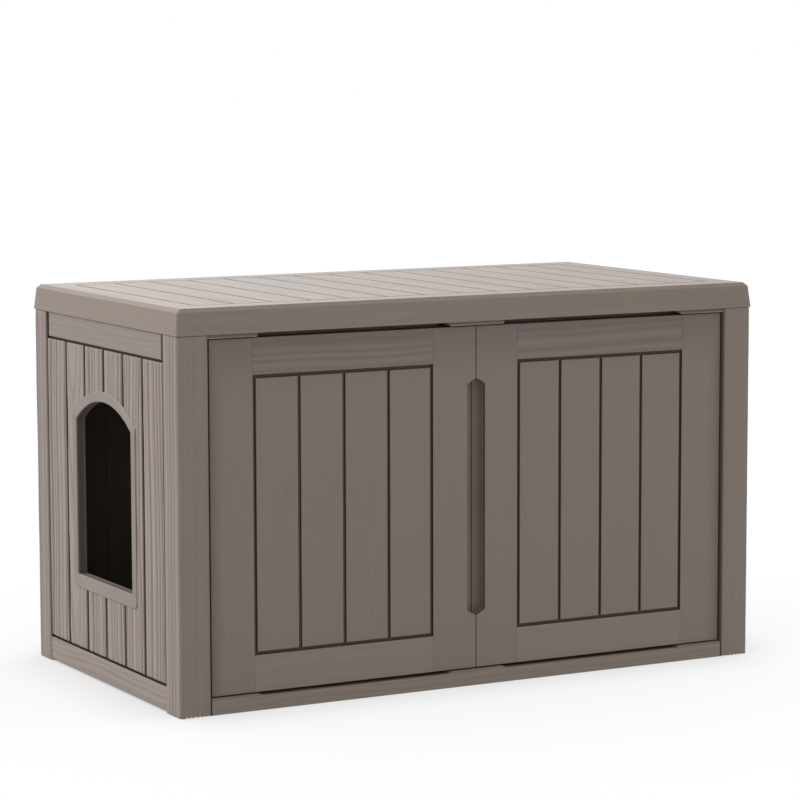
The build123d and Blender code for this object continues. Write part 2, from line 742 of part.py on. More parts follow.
def front_door(name, side):
    """Moulded door: plank field in stiles and rails, ribbed back, half finger pull and pivot bosses."""
    middle = side * (door_seam + door_width) / 2
    seam_edge = side * door_seam / 2
    pull_x = side * pull_half_width
    pull_wall_x = side * (pull_half_width + pull_wall)
    pull_low = pull_shoulder_low - pull_point_rise
    pull_high = pull_shoulder_high + pull_point_rise
    pivot = (side * pivot_x, pivot_y)
    strike = (side * strike_centre, strike_middle)
    rib_pitch = field_height / (door_rib_count - 1)
    with BuildPart() as door:
        with BuildSketch(door_plane):
            with Locations((middle, door_middle)):
                Rectangle(door_width, door_height)
        extrude(amount=-door_thickness)
        fillet(door.faces().sort_by(Axis.Y)[0].edges(), radius=door_edge_round)
        with BuildSketch(door_plane.offset(-door_thickness)):
            with Locations((middle, door_middle)):
                Rectangle(door_width - 2 * door_wall, door_height - 2 * door_wall)
        extrude(amount=door_thickness - door_skin, mode=Mode.SUBTRACT)
        with BuildSketch(door_plane.offset(-door_skin)):
            with Locations((middle, field_middle)):
                with GridLocations(door_plank_pitch, field_height, door_plank_count, 1):
                    Rectangle(
                        door_plank_pitch - door_groove_width - 2 * pocket_margin,
                        field_height - door_groove_width - 2 * pocket_margin,
                    )
        extrude(amount=door_pocket_depth, mode=Mode.SUBTRACT)
        # ribs behind the grooves and across the door
        with BuildSketch(door_plane.offset(-door_skin + door_pocket_depth)):
            with Locations((middle, door_middle)):
                with GridLocations(door_plank_pitch, door_height, door_plank_count + 1, 1):
                    Rectangle(door_rib_thickness, door_height - door_wall)
            with Locations((middle, field_middle)):
                with GridLocations(door_width, rib_pitch, 1, door_rib_count):
                    Rectangle(door_width - door_wall, door_rib_thickness)
        extrude(amount=-(door_rib_height + door_pocket_depth))
        with BuildSketch(door_plane):
            with Locations((middle, field_middle)):
                with GridLocations(door_plank_pitch, field_height, door_plank_count + 1, 1):
                    Rectangle(door_groove_width, field_height + door_groove_width)
                with GridLocations(field_width, field_height, 1, 2):
                    Rectangle(field_width, door_groove_width)
        extrude(amount=-door_groove_depth, mode=Mode.SUBTRACT)
        # finger pull: a walled recess open to the front and to the seam
        with BuildSketch(door_plane.offset(-door_edge_round)):
            with BuildLine():
                Polyline(
                    (seam_edge, pull_low - pull_wall),
                    (pull_wall_x, pull_shoulder_low - pull_wall),
                    (pull_wall_x, pull_shoulder_high + pull_wall),
                    (seam_edge, pull_high + pull_wall),
                    close=True,
                )
            make_face()
        extrude(amount=-(pull_depth + pull_wall - door_edge_round))
        with BuildSketch(door_plane.offset(overrun)):
            with BuildLine():
                Polyline(
                    (0, pull_low),
                    (pull_x, pull_shoulder_low),
                    (pull_x, pull_shoulder_high),
                    (0, pull_high),
                    close=True,
                )
            make_face()
        extrude(amount=-(pull_depth + overrun), mode=Mode.SUBTRACT)
        # bosses for the pivot pins
        for end, way in ((door_top, 1), (door_bottom, -1)):
            with BuildSketch(Plane.XY.offset(end)):
                with Locations(pivot):
                    Circle(pivot_boss_radius)
            extrude(amount=-way * pivot_boss_length)
            with BuildSketch(Plane.XY.offset(end)):
                with Locations(pivot):
                    Circle(pivot_pin_radius + press_clearance)
            extrude(amount=-way * (pivot_pin_grip + fit), mode=Mode.SUBTRACT)
        # boss behind the strike plate, with the screw's hole
        with BuildSketch(door_plane.offset(-door_thickness)):
            with Locations(strike):
                Rectangle(strike_width + 2 * strike_boss_margin, strike_height)
        extrude(amount=door_thickness - door_skin)
        with BuildSketch(door_plane.offset(-door_thickness)):
            with Locations((strike[0], strike_top - strike_height + strike_screw_inset)):
                Circle(screw_hole_radius)
        extrude(amount=screw_grip + fit, mode=Mode.SUBTRACT)
    save(door, name)


def strike_plate(name, side):
    """Steel plate on the back of a door that the catch's magnet holds."""
    with BuildPart() as plate:
        with BuildSketch(door_plane.offset(-door_thickness)):
            with Locations((side * strike_centre, strike_middle)):
                Rectangle(strike_width, strike_height)
            with Locations((side * strike_centre, strike_top - strike_height + strike_screw_inset)):
                Circle(screw_hole_radius, mode=Mode.SUBTRACT)
        extrude(amount=-strike_thickness)
    save(plate, name)


def strike_screw(name, side):
    """Pan-head screw that holds a strike plate to its door."""
    place = (side * strike_centre, strike_top - strike_height + strike_screw_inset)
    with BuildPart() as screw:
        with BuildSketch(door_plane.offset(-door_thickness - strike_thickness)):
            with Locations(place):
                Circle(screw_head_radius)
        extrude(amount=-screw_head_height)
        with BuildSketch(door_plane.offset(-door_thickness - strike_thickness)):
            with Locations(place):
                Circle(screw_radius)
        extrude(amount=strike_thickness + screw_grip)
    save(screw, name)


for side_name, side_sign in sides.items():
    pivot_place = (side_sign * pivot_x, pivot_y)
    sill_face = sill_height + sill_pad_rise
    front_door(f"door_{side_name}", side_sign)
    pivot_pin(f"upper_pivot_pin_{side_name}", pivot_place, door_top, 1)
    pivot_pin(f"lower_pivot_pin_{side_name}", pivot_place, door_bottom, -1)
    hinge_bush(f"upper_bush_{side_name}", pivot_place, header_pad_bottom, 1)
    hinge_bush(f"lower_bush_{side_name}", pivot_place, sill_face, -1)
    strike_plate(f"strike_plate_{side_name}", side_sign)
    strike_screw(f"strike_screw_{side_name}", side_sign)

magnet_middle = catch_bottom + magnet_lift + magnet_height / 2
magnet_places = [
    (-strike_centre, catch_front - magnet_proud, magnet_middle),
    (strike_centre, catch_front - magnet_proud, magnet_middle),
]

with BuildPart() as catch_body:
    with Locations((0, catch_front, post_height)):
        Box(
            2 * catch_half_width,
            catch_depth,
            catch_height,
            align=(Align.CENTER, Align.MIN, Align.MAX),
        )
        Box(
            2 * (catch_half_width + catch_ear),
            catch_depth,
            catch_ear_thickness,
            align=(Align.CENTER, Align.MIN, Align.MAX),
        )
    with Locations(*magnet_places):
        Box(
            magnet_width + 2 * press_clearance,
            magnet_depth + press_clearance,
            magnet_height + 2 * press_clearance,
            align=(Align.CENTER, Align.MIN, Align.CENTER),
            mode=Mode.SUBTRACT,
        )
    with BuildSketch(Plane.XY.offset(post_height - catch_ear_thickness)):
        with Locations(*catch_screw_places):
            Circle(screw_hole_radius)
    extrude(amount=catch_ear_thickness, mode=Mode.SUBTRACT)
save(catch_body, "catch_body")

with BuildPart() as catch_magnets:
    with Locations(*magnet_places):
        Box(
            magnet_width,
            magnet_depth,
            magnet_height,
            align=(Align.CENTER, Align.MIN, Align.CENTER),
        )
save(catch_magnets, "catch_magnets")

with BuildPart() as catch_screws:
    with BuildSketch(Plane.XY.offset(post_height - catch_ear_thickness)):
        with Locations(*catch_screw_places):
            Circle(screw_head_radius)
    extrude(amount=-screw_head_height)
    with BuildSketch(Plane.XY.offset(post_height - catch_ear_thickness)):
        with Locations(*catch_screw_places):
            Circle(screw_radius)
    extrude(amount=catch_ear_thickness + screw_grip)
save(catch_screws, "catch_screws")

floor_side_x = half_width - rail_recess - rail_wall - floor_margin
floor_side_y = side_bay / 2 - rail_end_gap - rail_web - fit
floor_end_x = back_bay / 2 - rail_end_gap - rail_web - fit
floor_front_y = -half_depth + sill_depth + fit
floor_back_y = half_depth - rail_recess - rail_wall - floor_margin
floor_end_middle = (floor_front_y + floor_back_y) / 2
floor_screws_at = [
    wall_point(wall_name, along, floor_screw_middle)
    for wall_name in wall_planes
    for along in floor_screw_places(bays[wall_name])
]

with BuildPart() as floor_panel:
    with BuildSketch(Plane.XY.offset(floor_bottom)):
        Rectangle(2 * floor_side_x, 2 * floor_side_y)
        with Locations((0, floor_end_middle)):
            Rectangle(2 * floor_end_x, floor_back_y - floor_front_y)
    extrude(amount=floor_height)
    with BuildSketch(Plane.XY.offset(floor_bottom)):
        Rectangle(2 * (floor_side_x - floor_rim), 2 * (floor_side_y - floor_rim))
        with Locations((0, floor_end_middle)):
            Rectangle(2 * (floor_end_x - floor_rim), floor_back_y - floor_front_y - 2 * floor_rim)
    extrude(amount=floor_height - floor_skin, mode=Mode.SUBTRACT)
    with BuildSketch(Plane.XY.offset(floor_bottom)):
        with Locations((0, floor_end_middle)):
            with GridLocations(2 * floor_end_x / (floor_rib_columns + 1), 0, floor_rib_columns, 1):
                Rectangle(floor_rib, floor_back_y - floor_front_y - floor_rim)
        with GridLocations(0, 2 * floor_side_y / (floor_rib_rows + 1), 1, floor_rib_rows):
            Rectangle(2 * floor_side_x - floor_rim, floor_rib)
        with Locations(*floor_screws_at):
            Circle(screw_boss_radius)
    extrude(amount=floor_height - floor_skin)
    with BuildSketch(Plane.XY.offset(floor_bottom)):
        with Locations(*floor_screws_at):
            Circle(screw_hole_radius)
    extrude(amount=screw_grip + fit, mode=Mode.SUBTRACT)
save(floor_panel, "floor_panel")

with BuildPart() as floor_screws:
    with BuildSketch(Plane.XY.offset(base_rail_lift + fit)):
        with Locations(*floor_screws_at):
            Circle(screw_head_radius)
    extrude(amount=screw_head_height)
    with BuildSketch(Plane.XY.offset(base_rail_lift + fit)):
        with Locations(*floor_screws_at):
            Circle(screw_radius)
    extrude(amount=rail_wall - fit + screw_grip)
save(floor_screws, "floor_screws")


def skirt_outline(inset, height, corner):
    """Rounded plan of the lid's skirt at a height, set in from its outer face."""
    lean = inset - lid_overhang + lid_lean * (height - lid_bottom) / lid_height
    with BuildSketch(Plane.XY.offset(height)) as outline:
        RectangleRounded(cabinet_width - 2 * lean, cabinet_depth - 2 * lean, corner)
    return outline.sketch


lid_field_x = half_width - lid_border
lid_field_y = half_depth - lid_border
lid_plank_pitch = 2 * lid_field_x / lid_plank_count
lid_rib_bottom = lid_top - lid_skin - lid_rib_height
lid_inner_x = half_width - lid_skirt
lid_inner_y = half_depth - lid_skirt
lid_bevel_bottom = lid_top - lid_bevel
lid_skirt_top = skirt_outline(0, lid_bevel_bottom, lid_corner)
lid_outer_faces = [skirt_outline(0, lid_bottom, lid_corner), lid_skirt_top]
lid_bevel_faces = [lid_skirt_top, skirt_outline(lid_bevel, lid_top, lid_inner_corner)]
lid_inner_faces = [
    skirt_outline(lid_skirt, lid_bottom, lid_inner_corner),
    skirt_outline(lid_skirt, lid_top - lid_skin, lid_inner_corner),
]

with BuildPart() as lid:
    loft(lid_outer_faces)
    loft(lid_bevel_faces)
    loft(lid_inner_faces, mode=Mode.SUBTRACT)
    with BuildSketch(Plane.XY.offset(lid_rib_bottom)):
        with GridLocations(2 * lid_inner_x / (lid_rib_columns + 1), 0, lid_rib_columns, 1):
            Rectangle(lid_rib, 2 * lid_inner_y - lid_skirt)
        with GridLocations(0, 2 * lid_inner_y / (lid_rib_rows + 1), 1, lid_rib_rows):
            Rectangle(2 * lid_inner_x - lid_skirt, lid_rib)
    extrude(amount=lid_rib_height)
    with BuildSketch(Plane.XY.offset(lid_top)):
        with GridLocations(lid_plank_pitch, 0, lid_plank_count + 1, 1):
            Rectangle(lid_groove_width, 2 * lid_field_y + lid_groove_width)
        with GridLocations(0, 2 * lid_field_y, 1, 2):
            Rectangle(2 * lid_field_x, lid_groove_width)
    extrude(amount=-lid_groove_depth, mode=Mode.SUBTRACT)
    # hinge knuckles under the rear skirt, with room beside them for the rail's knuckles
    with Locations(*[(x, hinge_y, hinge_z) for x in hinge_places]):
        Box(
            hinge_length + 2 * knuckle_gap,
            2 * (hinge_radius + hinge_clearance),
            2 * (hinge_radius + hinge_clearance),
            mode=Mode.SUBTRACT,
        )
        Cylinder(hinge_radius, lid_knuckle, rotation=(0, 90, 0))
        Box(
            lid_knuckle,
            hinge_radius,
            hinge_radius + hinge_clearance + lid_skirt,
            align=(Align.CENTER, Align.MIN, Align.MIN),
        )
        Cylinder(
            hinge_pin_radius + running_clearance,
            lid_knuckle,
            rotation=(0, 90, 0),
            mode=Mode.SUBTRACT,
        )
save(lid, "lid")

with BuildPart() as lid_hinge_pins:
    with Locations(*[(x, hinge_y, hinge_z) for x in hinge_places]):
        Cylinder(hinge_pin_radius, hinge_length, rotation=(0, 90, 0))
save(lid_hinge_pins, "lid_hinge_pins")
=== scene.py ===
import functools
import math

import bpy
import numpy as np
from bpy.props import FloatProperty, FloatVectorProperty, IntProperty, PointerProperty
from mathutils import Matrix, Vector


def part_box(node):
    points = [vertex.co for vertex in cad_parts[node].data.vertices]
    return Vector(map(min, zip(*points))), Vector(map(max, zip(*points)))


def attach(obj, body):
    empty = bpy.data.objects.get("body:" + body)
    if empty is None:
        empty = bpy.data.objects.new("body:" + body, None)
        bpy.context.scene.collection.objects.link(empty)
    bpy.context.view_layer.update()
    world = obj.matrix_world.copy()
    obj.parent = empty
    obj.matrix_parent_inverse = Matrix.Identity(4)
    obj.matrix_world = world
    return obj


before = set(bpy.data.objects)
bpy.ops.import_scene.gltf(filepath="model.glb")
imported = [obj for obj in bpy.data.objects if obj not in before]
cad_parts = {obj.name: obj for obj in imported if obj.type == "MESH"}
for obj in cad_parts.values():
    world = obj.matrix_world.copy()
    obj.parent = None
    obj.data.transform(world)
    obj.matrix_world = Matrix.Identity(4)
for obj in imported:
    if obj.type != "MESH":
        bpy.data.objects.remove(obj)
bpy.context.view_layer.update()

bl_info = {
    "name": "Litter box enclosure",
    "version": (1, 0, 0),
    "blender": (4, 5, 0),
    "location": "View3D > Sidebar > Enclosure",
    "description": "Dresses a planked resin litter box enclosure with grained boards and finishes",
    "category": "Object",
}

MM = 0.001
UP = Vector((0, 0, 1))
FRONT = Vector((0, -1, 0))
RIGHT = Vector((1, 0, 0))
WALLS = {"left": Vector((-1, 0, 0)), "right": RIGHT, "back": Vector((0, 1, 0))}
DOORS = {"left": -1, "right": 1}
GRAIN_DEPTH = "grain_depth"
GRAIN_MAP = "grain_map"

# Measures of the solids that no part's box gives
HEADER_RISE = 20 * MM  # the header's top above the posts
RAIL_TOP = 511 * MM  # upper edge of the side top rails
BACK_RAIL_TOP = 506 * MM  # upper edge of the back top rail, under the lid's hinge
POST_ROUND = 5 * MM  # round of the posts' outer corners
ENTRY_TRIM = 7 * MM  # what the planks leave free round the doorway
LID_BORDER = 49 * MM  # the lid's edge to the planks inside its border
LID_PITCH = 58.43 * MM  # spacing of the lid's planks
LID_FIELD = (412 * MM, 206 * MM)  # half sizes of the lid's grooved field

# Boards that lie flat on a face: rails, sill, stiles and posts
FACE_LIFT = 0.3 * MM
FACE_ROUND = 0.6 * MM
FACE_DEPTH = 0.3 * MM
SHY = 0.05 * MM  # keeps the rims of neighbours apart
SOFT = 1 * MM  # run from one tone to the next at an edge
RAIL_STEP, RAIL_RUN = 1.2 * MM, 8 * MM  # mesh steps of the rails
SMOOTH_ANGLE = math.radians(40)
# Painted shade: the finish paints the board rims marked with this depth in the groove colour
UNDER_RIM = 3.0  # grain depth that marks the rim and the underside of a board

# Tint of the lid's top and ends, and the painted light on its front and back, times the resin
LID_WARM = (1.03, 0.955, 0.875, 1.0)
LID_FRONT_LIGHT = (1.1, 1.1, 1.08, 1.0)


def mm(name, description, value):
    """A property that holds a length, given in millimetres."""
    return FloatProperty(name=name, description=description, default=value * MM, unit="LENGTH")


def degrees(name, description, value):
    """A property that holds an angle, given in degrees."""
    return FloatProperty(name=name, description=description, default=math.radians(value), subtype="ANGLE")


def rgb(name, description, value):
    """A property that holds a colour."""
    return FloatVectorProperty(name=name, description=description, default=value, size=3, subtype="COLOR")


class EnclosureGrain(bpy.types.PropertyGroup):
    """Sizes of the moulded wood grain and of the boards that carry it."""

    lift: mm("Board lift", "Lowest grain above the solid face", 0.4)
    relief: mm("Relief", "Ridge to valley on walls and posts", 1.3)
    spacing: mm("Ridge spacing", "Between ridges on walls and posts", 11)
    door_relief: mm("Door relief", "Ridge to valley on door stiles and planks", 0.18)
    door_spacing: mm("Door ridge spacing", "Between ridges on stiles and planks", 4.2)
    rail_relief: mm("Rail relief", "Ridge to valley on rails", 0.4)
    rail_spacing: mm("Rail ridge spacing", "Between the broad ridges on rails", 11)
    edge_round: mm("Edge round", "Radius of the plank edges", 0.9)
    soft_edge: mm("Soft edge", "Lowered and shaded strip along the plank edges", 1.6)
    step: mm("Step across", "Mesh step across the grain", 1.2)
    run: mm("Step along", "Mesh step along the grain", 9)
    seed: IntProperty(name="Seed", description="Start of the grain's random numbers", default=11)


class EnclosureBoards(bpy.types.PropertyGroup):
    """Layout of the planks on the solids."""

    side_planks: IntProperty(name="Side planks", description="Planks on each side wall", default=6)
    back_planks: IntProperty(name="Back planks", description="Planks on the back wall", default=12)
    door_planks: IntProperty(name="Door planks", description="Planks in each door", default=4)
    shadow_gap: mm("Shadow gap", "Gap beside and under the wall planks", 5.2)
    top_gap: mm("Top gap", "Gap over the wall planks", 3.9)
    plank_rise: mm("Plank rise", "Wall planks above their sheet", 3)
    plank_over: mm("Plank overhang", "Grained planks past the solid ones", 0.1)
    foot_over: mm("Foot overhang", "Grained planks past the foot of the solid ones", 1.1)
    front_over: mm("Front overhang", "The foremost side planks towards the front posts", 3.2)
    rear_over: mm("Rear overhang", "The rearmost side planks towards the rear posts", 3.8)
    rear_strip: mm("Rear strip", "Bare edge of the rear posts beside the side planks", 4)
    stile: mm("Stile", "Door edge to the middle of the groove", 68)
    rail_top: mm("Top rail", "Door top to the middle of the groove", 52.5)
    rail_bottom: mm("Bottom rail", "Door foot to the middle of the groove", 52.8)
    groove: mm("Door groove", "Width of the door grooves", 4.8)
    left_shifts: FloatVectorProperty(
        name="Left door shifts", description="How far the left door's grooves lie left of even spacing",
        default=(1.6 * MM, 2.5 * MM, 2.2 * MM, 1.5 * MM, 2.1 * MM), size=5, unit="LENGTH",
    )
    arch_radius: mm("Arch radius", "Radius of the doorway's crown", 158.5)
    arch_half: mm("Arch half width", "Half the doorway's width", 95.5)
    arch_crown: mm("Arch crown", "Height of the doorway's crown", 399.3)
    arch_sill: mm("Arch sill", "Height of the doorway's sill", 144.5)
    pull_half: mm("Pull half width", "Half the finger pull's width", 14.2)
    pull_low: mm("Pull low", "Door's lower edge to the pull's lower shoulder", 82)
    pull_high: mm("Pull high", "Door's upper edge to the pull's upper shoulder", 80.5)
    pull_point: mm("Pull point", "Rise of the pull's pointed ends", 8.3)
    rail_end: mm("Rail end", "Gap between a wall rail and the posts", 3)
    base_end: mm("Base rail end", "Slit between a base rail's face and the posts", 0.3)
    rail_shy: mm("Rail shy", "How far a top rail's face stops short of its end", 3.4)
    sill: mm("Sill", "Height of the front sill", 20)
    sill_end: mm("Sill end", "Slit between the sill's face and the posts", 2)
    foot_teeth: IntProperty(name="Foot teeth", description="Teeth across a front post's foot", default=6)
    foot_tooth: mm("Foot tooth", "Height of the teeth at a front post's foot", 2.4)


class EnclosureColours(bpy.types.PropertyGroup):
    """Colours of the finishes."""

    resin: rgb("Resin", "Taupe of the moulded resin", (0.2175, 0.178, 0.1505))
    # Painted shade: the shades mix this colour into grooves, gaps, hollows and the doorway's tunnel
    groove: rgb("Grooves", "Resin in the shade of the grooves", (0.036, 0.0285, 0.0235))
    # Painted shade: the floor panel and the retainer stand in the dark inside, so they get this dark colour in place of
    # the resin
    inner: rgb("Inner resin", "Darker resin of the floor panel and the retainer", (0.06, 0.05, 0.044))
    steel: rgb("Steel", "Zinc-plated pins, plates and screws", (0.56, 0.57, 0.58))
    nylon: rgb("Nylon", "Black bushes and catch", (0.018, 0.018, 0.019))
    ferrite: rgb("Ferrite", "Dark magnets", (0.045, 0.045, 0.048))


class EnclosureStage(bpy.types.PropertyGroup):
    """Camera, floor and light."""

    camera: FloatVectorProperty(
        name="Camera", description="Place of the camera", subtype="XYZ", size=3, default=(-2.1034, -3.8941, 0.8934)
    )
    yaw: degrees("Yaw", "Turn to the right of +Y", 28.52)
    pitch: degrees("Pitch", "Tilt downwards", 6.665)
    roll: degrees("Roll", "Tilt sideways", -0.143)
    lens: FloatProperty(name="Lens", description="Focal length in millimetres", default=137.56)
    key: FloatProperty(name="Key light", description="Strength of the soft key light", default=2.7)
    fill: FloatProperty(name="Fill light", description="Strength of the even light all round", default=0.78)
    floor: rgb("Floor", "Pale floor", (0.85, 0.85, 0.85))


# Grain


def ring_pattern(seed, width, spacing, heart, taper, wander, fine_share=0.3):
    """Growth rings of one board: a function of places across and along that is 0 on a ridge, 1 in a valley."""
    rng = np.random.default_rng(seed)
    lengths = rng.uniform(0.16, 0.6, 3)
    phases = rng.uniform(0, 1, 6)
    sway = wander * np.array([1.0, 0.5, 0.25]) * rng.uniform(0.5, 1.0, 3)
    strengths = rng.uniform(0.5, 1.0, 97)
    core = rng.uniform(1.0, 1.8) * spacing
    heart_at = heart * width
    first_ring, uneven, uneven_rate, broad_share = 7.0, 0.22, 0.31, 0.85
    fine_rate, fine_sway, fine_length, fine_count = 2.7, 0.3, 0.11, 89

    def wave(turns):
        return np.sin(2 * np.pi * turns)

    def ring_strength(rings, count):
        return strengths[np.mod(np.floor(rings), count).astype(int)]

    def depth(across, along):
        bend = sum(s * wave(along / l + p) for s, l, p in zip(sway, lengths, phases))
        radius = np.hypot(across - heart_at + bend, core) + taper * along
        rings = radius / spacing
        rings = rings + uneven * wave(uneven_rate * rings + phases[3]) + first_ring
        broad = np.sin(np.pi * (rings - np.floor(rings))) ** 2 * ring_strength(rings, len(strengths))
        fine_rings = fine_rate * rings + fine_sway * wave(along / fine_length + phases[4])
        fine = np.sin(np.pi * fine_rings) ** 2 * ring_strength(fine_rings, fine_count)
        return np.clip(broad_share * broad + fine_share * fine, 0.0, 1.0)

    return depth


def grid_lines(length, step, low, high, radius, marks):
    """Places of a board's mesh lines: close over its rounded edges, even between, one on each mark."""
    start, end = -low, length + high
    soft = radius * np.array([0.0, 0.1, 0.3, 0.6])
    count = max(2, round((end - start - 2 * radius) / step))
    even = np.linspace(start + radius, end - radius, count + 1)
    for mark in marks:
        even[np.argmin(np.abs(even - mark))] = mark
    return np.concatenate([start + soft, even, end - soft[::-1]])


def deselect_all():
    """Leaves nothing selected, in object mode."""
    if bpy.context.object and bpy.context.object.mode != "OBJECT":
        bpy.ops.object.mode_set(mode="OBJECT")
    bpy.ops.object.select_all(action="DESELECT")


def select_only(pieces):
    """Selects some pieces and nothing else, the first of them active."""
    deselect_all()
    for piece in pieces:
        piece.select_set(True)
    bpy.context.view_layer.objects.active = pieces[0]


def face_outwards():
    """Turns all normals of the mesh in edit mode outwards and leaves edit mode."""
    bpy.ops.mesh.select_all(action="SELECT")
    bpy.ops.mesh.normals_make_consistent(inside=False)
    bpy.ops.object.mode_set(mode="OBJECT")


def read_places(mesh):
    """Vertex places of a mesh as an array."""
    places = np.empty(3 * len(mesh.vertices))
    mesh.vertices.foreach_get("co", places)
    return places.reshape(-1, 3)


def write_places(mesh, places):
    """Moves the vertices of a mesh to new places."""
    mesh.vertices.foreach_set("co", places.ravel())
    mesh.update()


def flat_board(name, width, length, step, run, edges, radius, depth, cut=None, marks=((), ())):
    """Adds a board lying flat: a grid with a rim drawn down to a depth and closed underneath."""
    across = grid_lines(width, step, edges[0], edges[1], radius, marks[0])
    along = grid_lines(length, run, edges[2], edges[3], radius, marks[1])
    deselect_all()
    bpy.ops.mesh.primitive_grid_add(x_subdivisions=len(across) - 1, y_subdivisions=len(along) - 1, size=1)
    board = bpy.context.object
    mesh = board.data
    board.name = mesh.name = name
    places = read_places(mesh)
    for axis, lines in enumerate((across, along)):
        places[:, axis] = lines[np.rint((places[:, axis] + 0.5) * (len(lines) - 1)).astype(int)]
    write_places(mesh, places)
    bpy.ops.object.mode_set(mode="EDIT")
    if cut:
        bpy.ops.mesh.select_mode(type="FACE")
        bpy.ops.mesh.select_all(action="DESELECT")
        bpy.ops.object.mode_set(mode="OBJECT")
        for face in mesh.polygons:
            face.select = cut(face.center.x, face.center.y)
        bpy.ops.object.mode_set(mode="EDIT")
        bpy.ops.mesh.delete(type="FACE")
    bpy.ops.mesh.select_mode(type="EDGE")
    bpy.ops.mesh.select_all(action="DESELECT")
    bpy.ops.mesh.select_non_manifold(extend=False)
    bpy.ops.mesh.extrude_edges_move(TRANSFORM_OT_translate={"value": (0, 0, -depth)})
    bpy.ops.mesh.fill()
    face_outwards()
    return board


def raise_grain(board, width, length, edges, radius, pattern, lift, relief, soft_edge=0.0):
    """Raises a flat board's top into its grain, rounds its edges and stores the grain for the finish, with its edge
    strip and rim marked for painted shade.
    """
    mesh = board.data
    places = read_places(mesh)
    x, y = places[:, 0], places[:, 1]
    deep = pattern(x, y)
    from_edge_x = np.minimum(x + edges[0], width + edges[1] - x)
    from_edge_y = np.minimum(y + edges[2], length + edges[3] - y)
    short_x = np.clip(radius - from_edge_x, 0, radius)
    short_y = np.clip(radius - from_edge_y, 0, radius)
    drop = radius - np.sqrt(np.clip(radius**2 - short_x**2 - short_y**2, 0, None))
    # Painted shade: a strip along the long edges counts as deep grain, so it sits lower and the finish paints it dark
    # beside the gaps
    if soft_edge:
        deep = np.maximum(deep, np.clip(1.5 - from_edge_x / soft_edge, 0, 1))
    top = places[:, 2] > -1e-9
    places[top, 2] = (lift + relief * (1 - deep) - drop)[top]
    write_places(mesh, places)
    shade = mesh.attributes.new(GRAIN_DEPTH, "FLOAT", "POINT")
    shade.data.foreach_set("value", np.where(top, deep, UNDER_RIM).astype(np.float32))
    corners = np.empty(len(mesh.loops), dtype=np.int32)
    mesh.loops.foreach_get("vertex_index", corners)
    grain_map = mesh.uv_layers.new(name=GRAIN_MAP)
    grain_map.data.foreach_set("uv", places[corners][:, :2].astype(np.float32).ravel())


def lay_board(name, middle, along, normal, width, length, pattern, relief, edges, step, run, lift=FACE_LIFT,
              radius=FACE_ROUND, depth=FACE_DEPTH, cut=None, marks=((), ()), warp=None, soft_edge=0.0):
    """Models one grained board on a face of the solids: its length runs along one way, its top faces the normal."""
    board = flat_board(name, width, length, step, run, edges, radius, depth, cut, marks)
    raise_grain(board, width, length, edges, radius, pattern, lift, relief, soft_edge)
    if warp:
        places = read_places(board.data)
        places[:, 1] += warp(places[:, 0], places[:, 1])
        write_places(board.data, places)
    across = along.cross(normal)
    corner = middle - across * width / 2 - along * length / 2
    turn = Matrix((across, along, normal)).transposed().to_4x4()
    board.matrix_world = Matrix.Translation(corner) @ turn
    select_only([board])
    bpy.ops.object.transform_apply(location=True, rotation=True, scale=True)
    return board


def join_boards(name, boards, body, material):
    """Joins like boards into one piece, shades it, gives it its finish and lets it ride on its body."""
    select_only(boards)
    if len(boards) > 1:
        bpy.ops.object.join()
    piece = bpy.context.object
    piece.name = piece.data.name = name
    bpy.ops.object.shade_smooth_by_angle(angle=SMOOTH_ANGLE)
    piece.data.materials.clear()
    piece.data.materials.append(material)
    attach(piece, body)


def bay(wall):
    """Clear width between the posts along a wall."""
    low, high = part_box("post_rear_left")
    return -2 * high.x if wall == "back" else 2 * low.y


# Finishes


class Nodes:
    """A node tree, with short ways to add nodes to it and to link them."""

    def __init__(self, tree):
        self.tree = tree

    def feed(self, node, key, value):
        """Links a socket into an input, or sets the input's own value."""
        if isinstance(value, bpy.types.NodeSocket):
            self.tree.links.new(value, node.inputs[key])
        else:
            node.inputs[key].default_value = value

    def add(self, kind, inputs=(), **settings):
        """Adds a node with its settings and inputs."""
        node = self.tree.nodes.new("ShaderNode" + kind)
        for key, value in settings.items():
            setattr(node, key, value)
        for key, value in dict(inputs).items():
            self.feed(node, key, value)
        return node

    def math(self, kind, *values, clamp=False):
        """One operation on sockets and numbers."""
        return self.add("Math", enumerate(values), operation=kind, use_clamp=clamp).outputs[0]

    def times(self, *values):
        """Product of sockets and numbers."""
        return functools.reduce(lambda a, b: self.math("MULTIPLY", a, b), values)

    def most(self, *values):
        """Highest of some sockets and numbers."""
        return functools.reduce(lambda a, b: self.math("MAXIMUM", a, b), values)

    def rest(self, share):
        """What a share leaves of 1."""
        return self.math("SUBTRACT", 1.0, share)

    def size(self, value):
        """A value without its sign."""
        return self.math("ABSOLUTE", value)

    def ramp(self, value, low, high, to_low=0.0, to_high=1.0, curve="SMOOTHSTEP"):
        """Maps one range onto another and stays within it."""
        inputs = {"Value": value, "From Min": low, "From Max": high, "To Min": to_low, "To Max": to_high}
        return self.add("MapRange", inputs, interpolation_type=curve).outputs["Result"]

    def mix(self, factor, a, b, kind="MIX"):
        """Mixes two colours."""
        return self.add("Mix", {0: factor, 6: a, 7: b}, data_type="RGBA", blend_type=kind).outputs[2]

    def choose(self, factor, a, b):
        """Mixes two numbers."""
        return self.add("Mix", {0: factor, 2: a, 3: b}, data_type="FLOAT").outputs[0]

    def seen_rays(self):
        """1 for the rays that show the background: from the camera, off gloss or through glass."""
        path = self.add("LightPath").outputs
        return self.most(path["Is Camera Ray"], path["Is Glossy Ray"], path["Is Transmission Ray"])


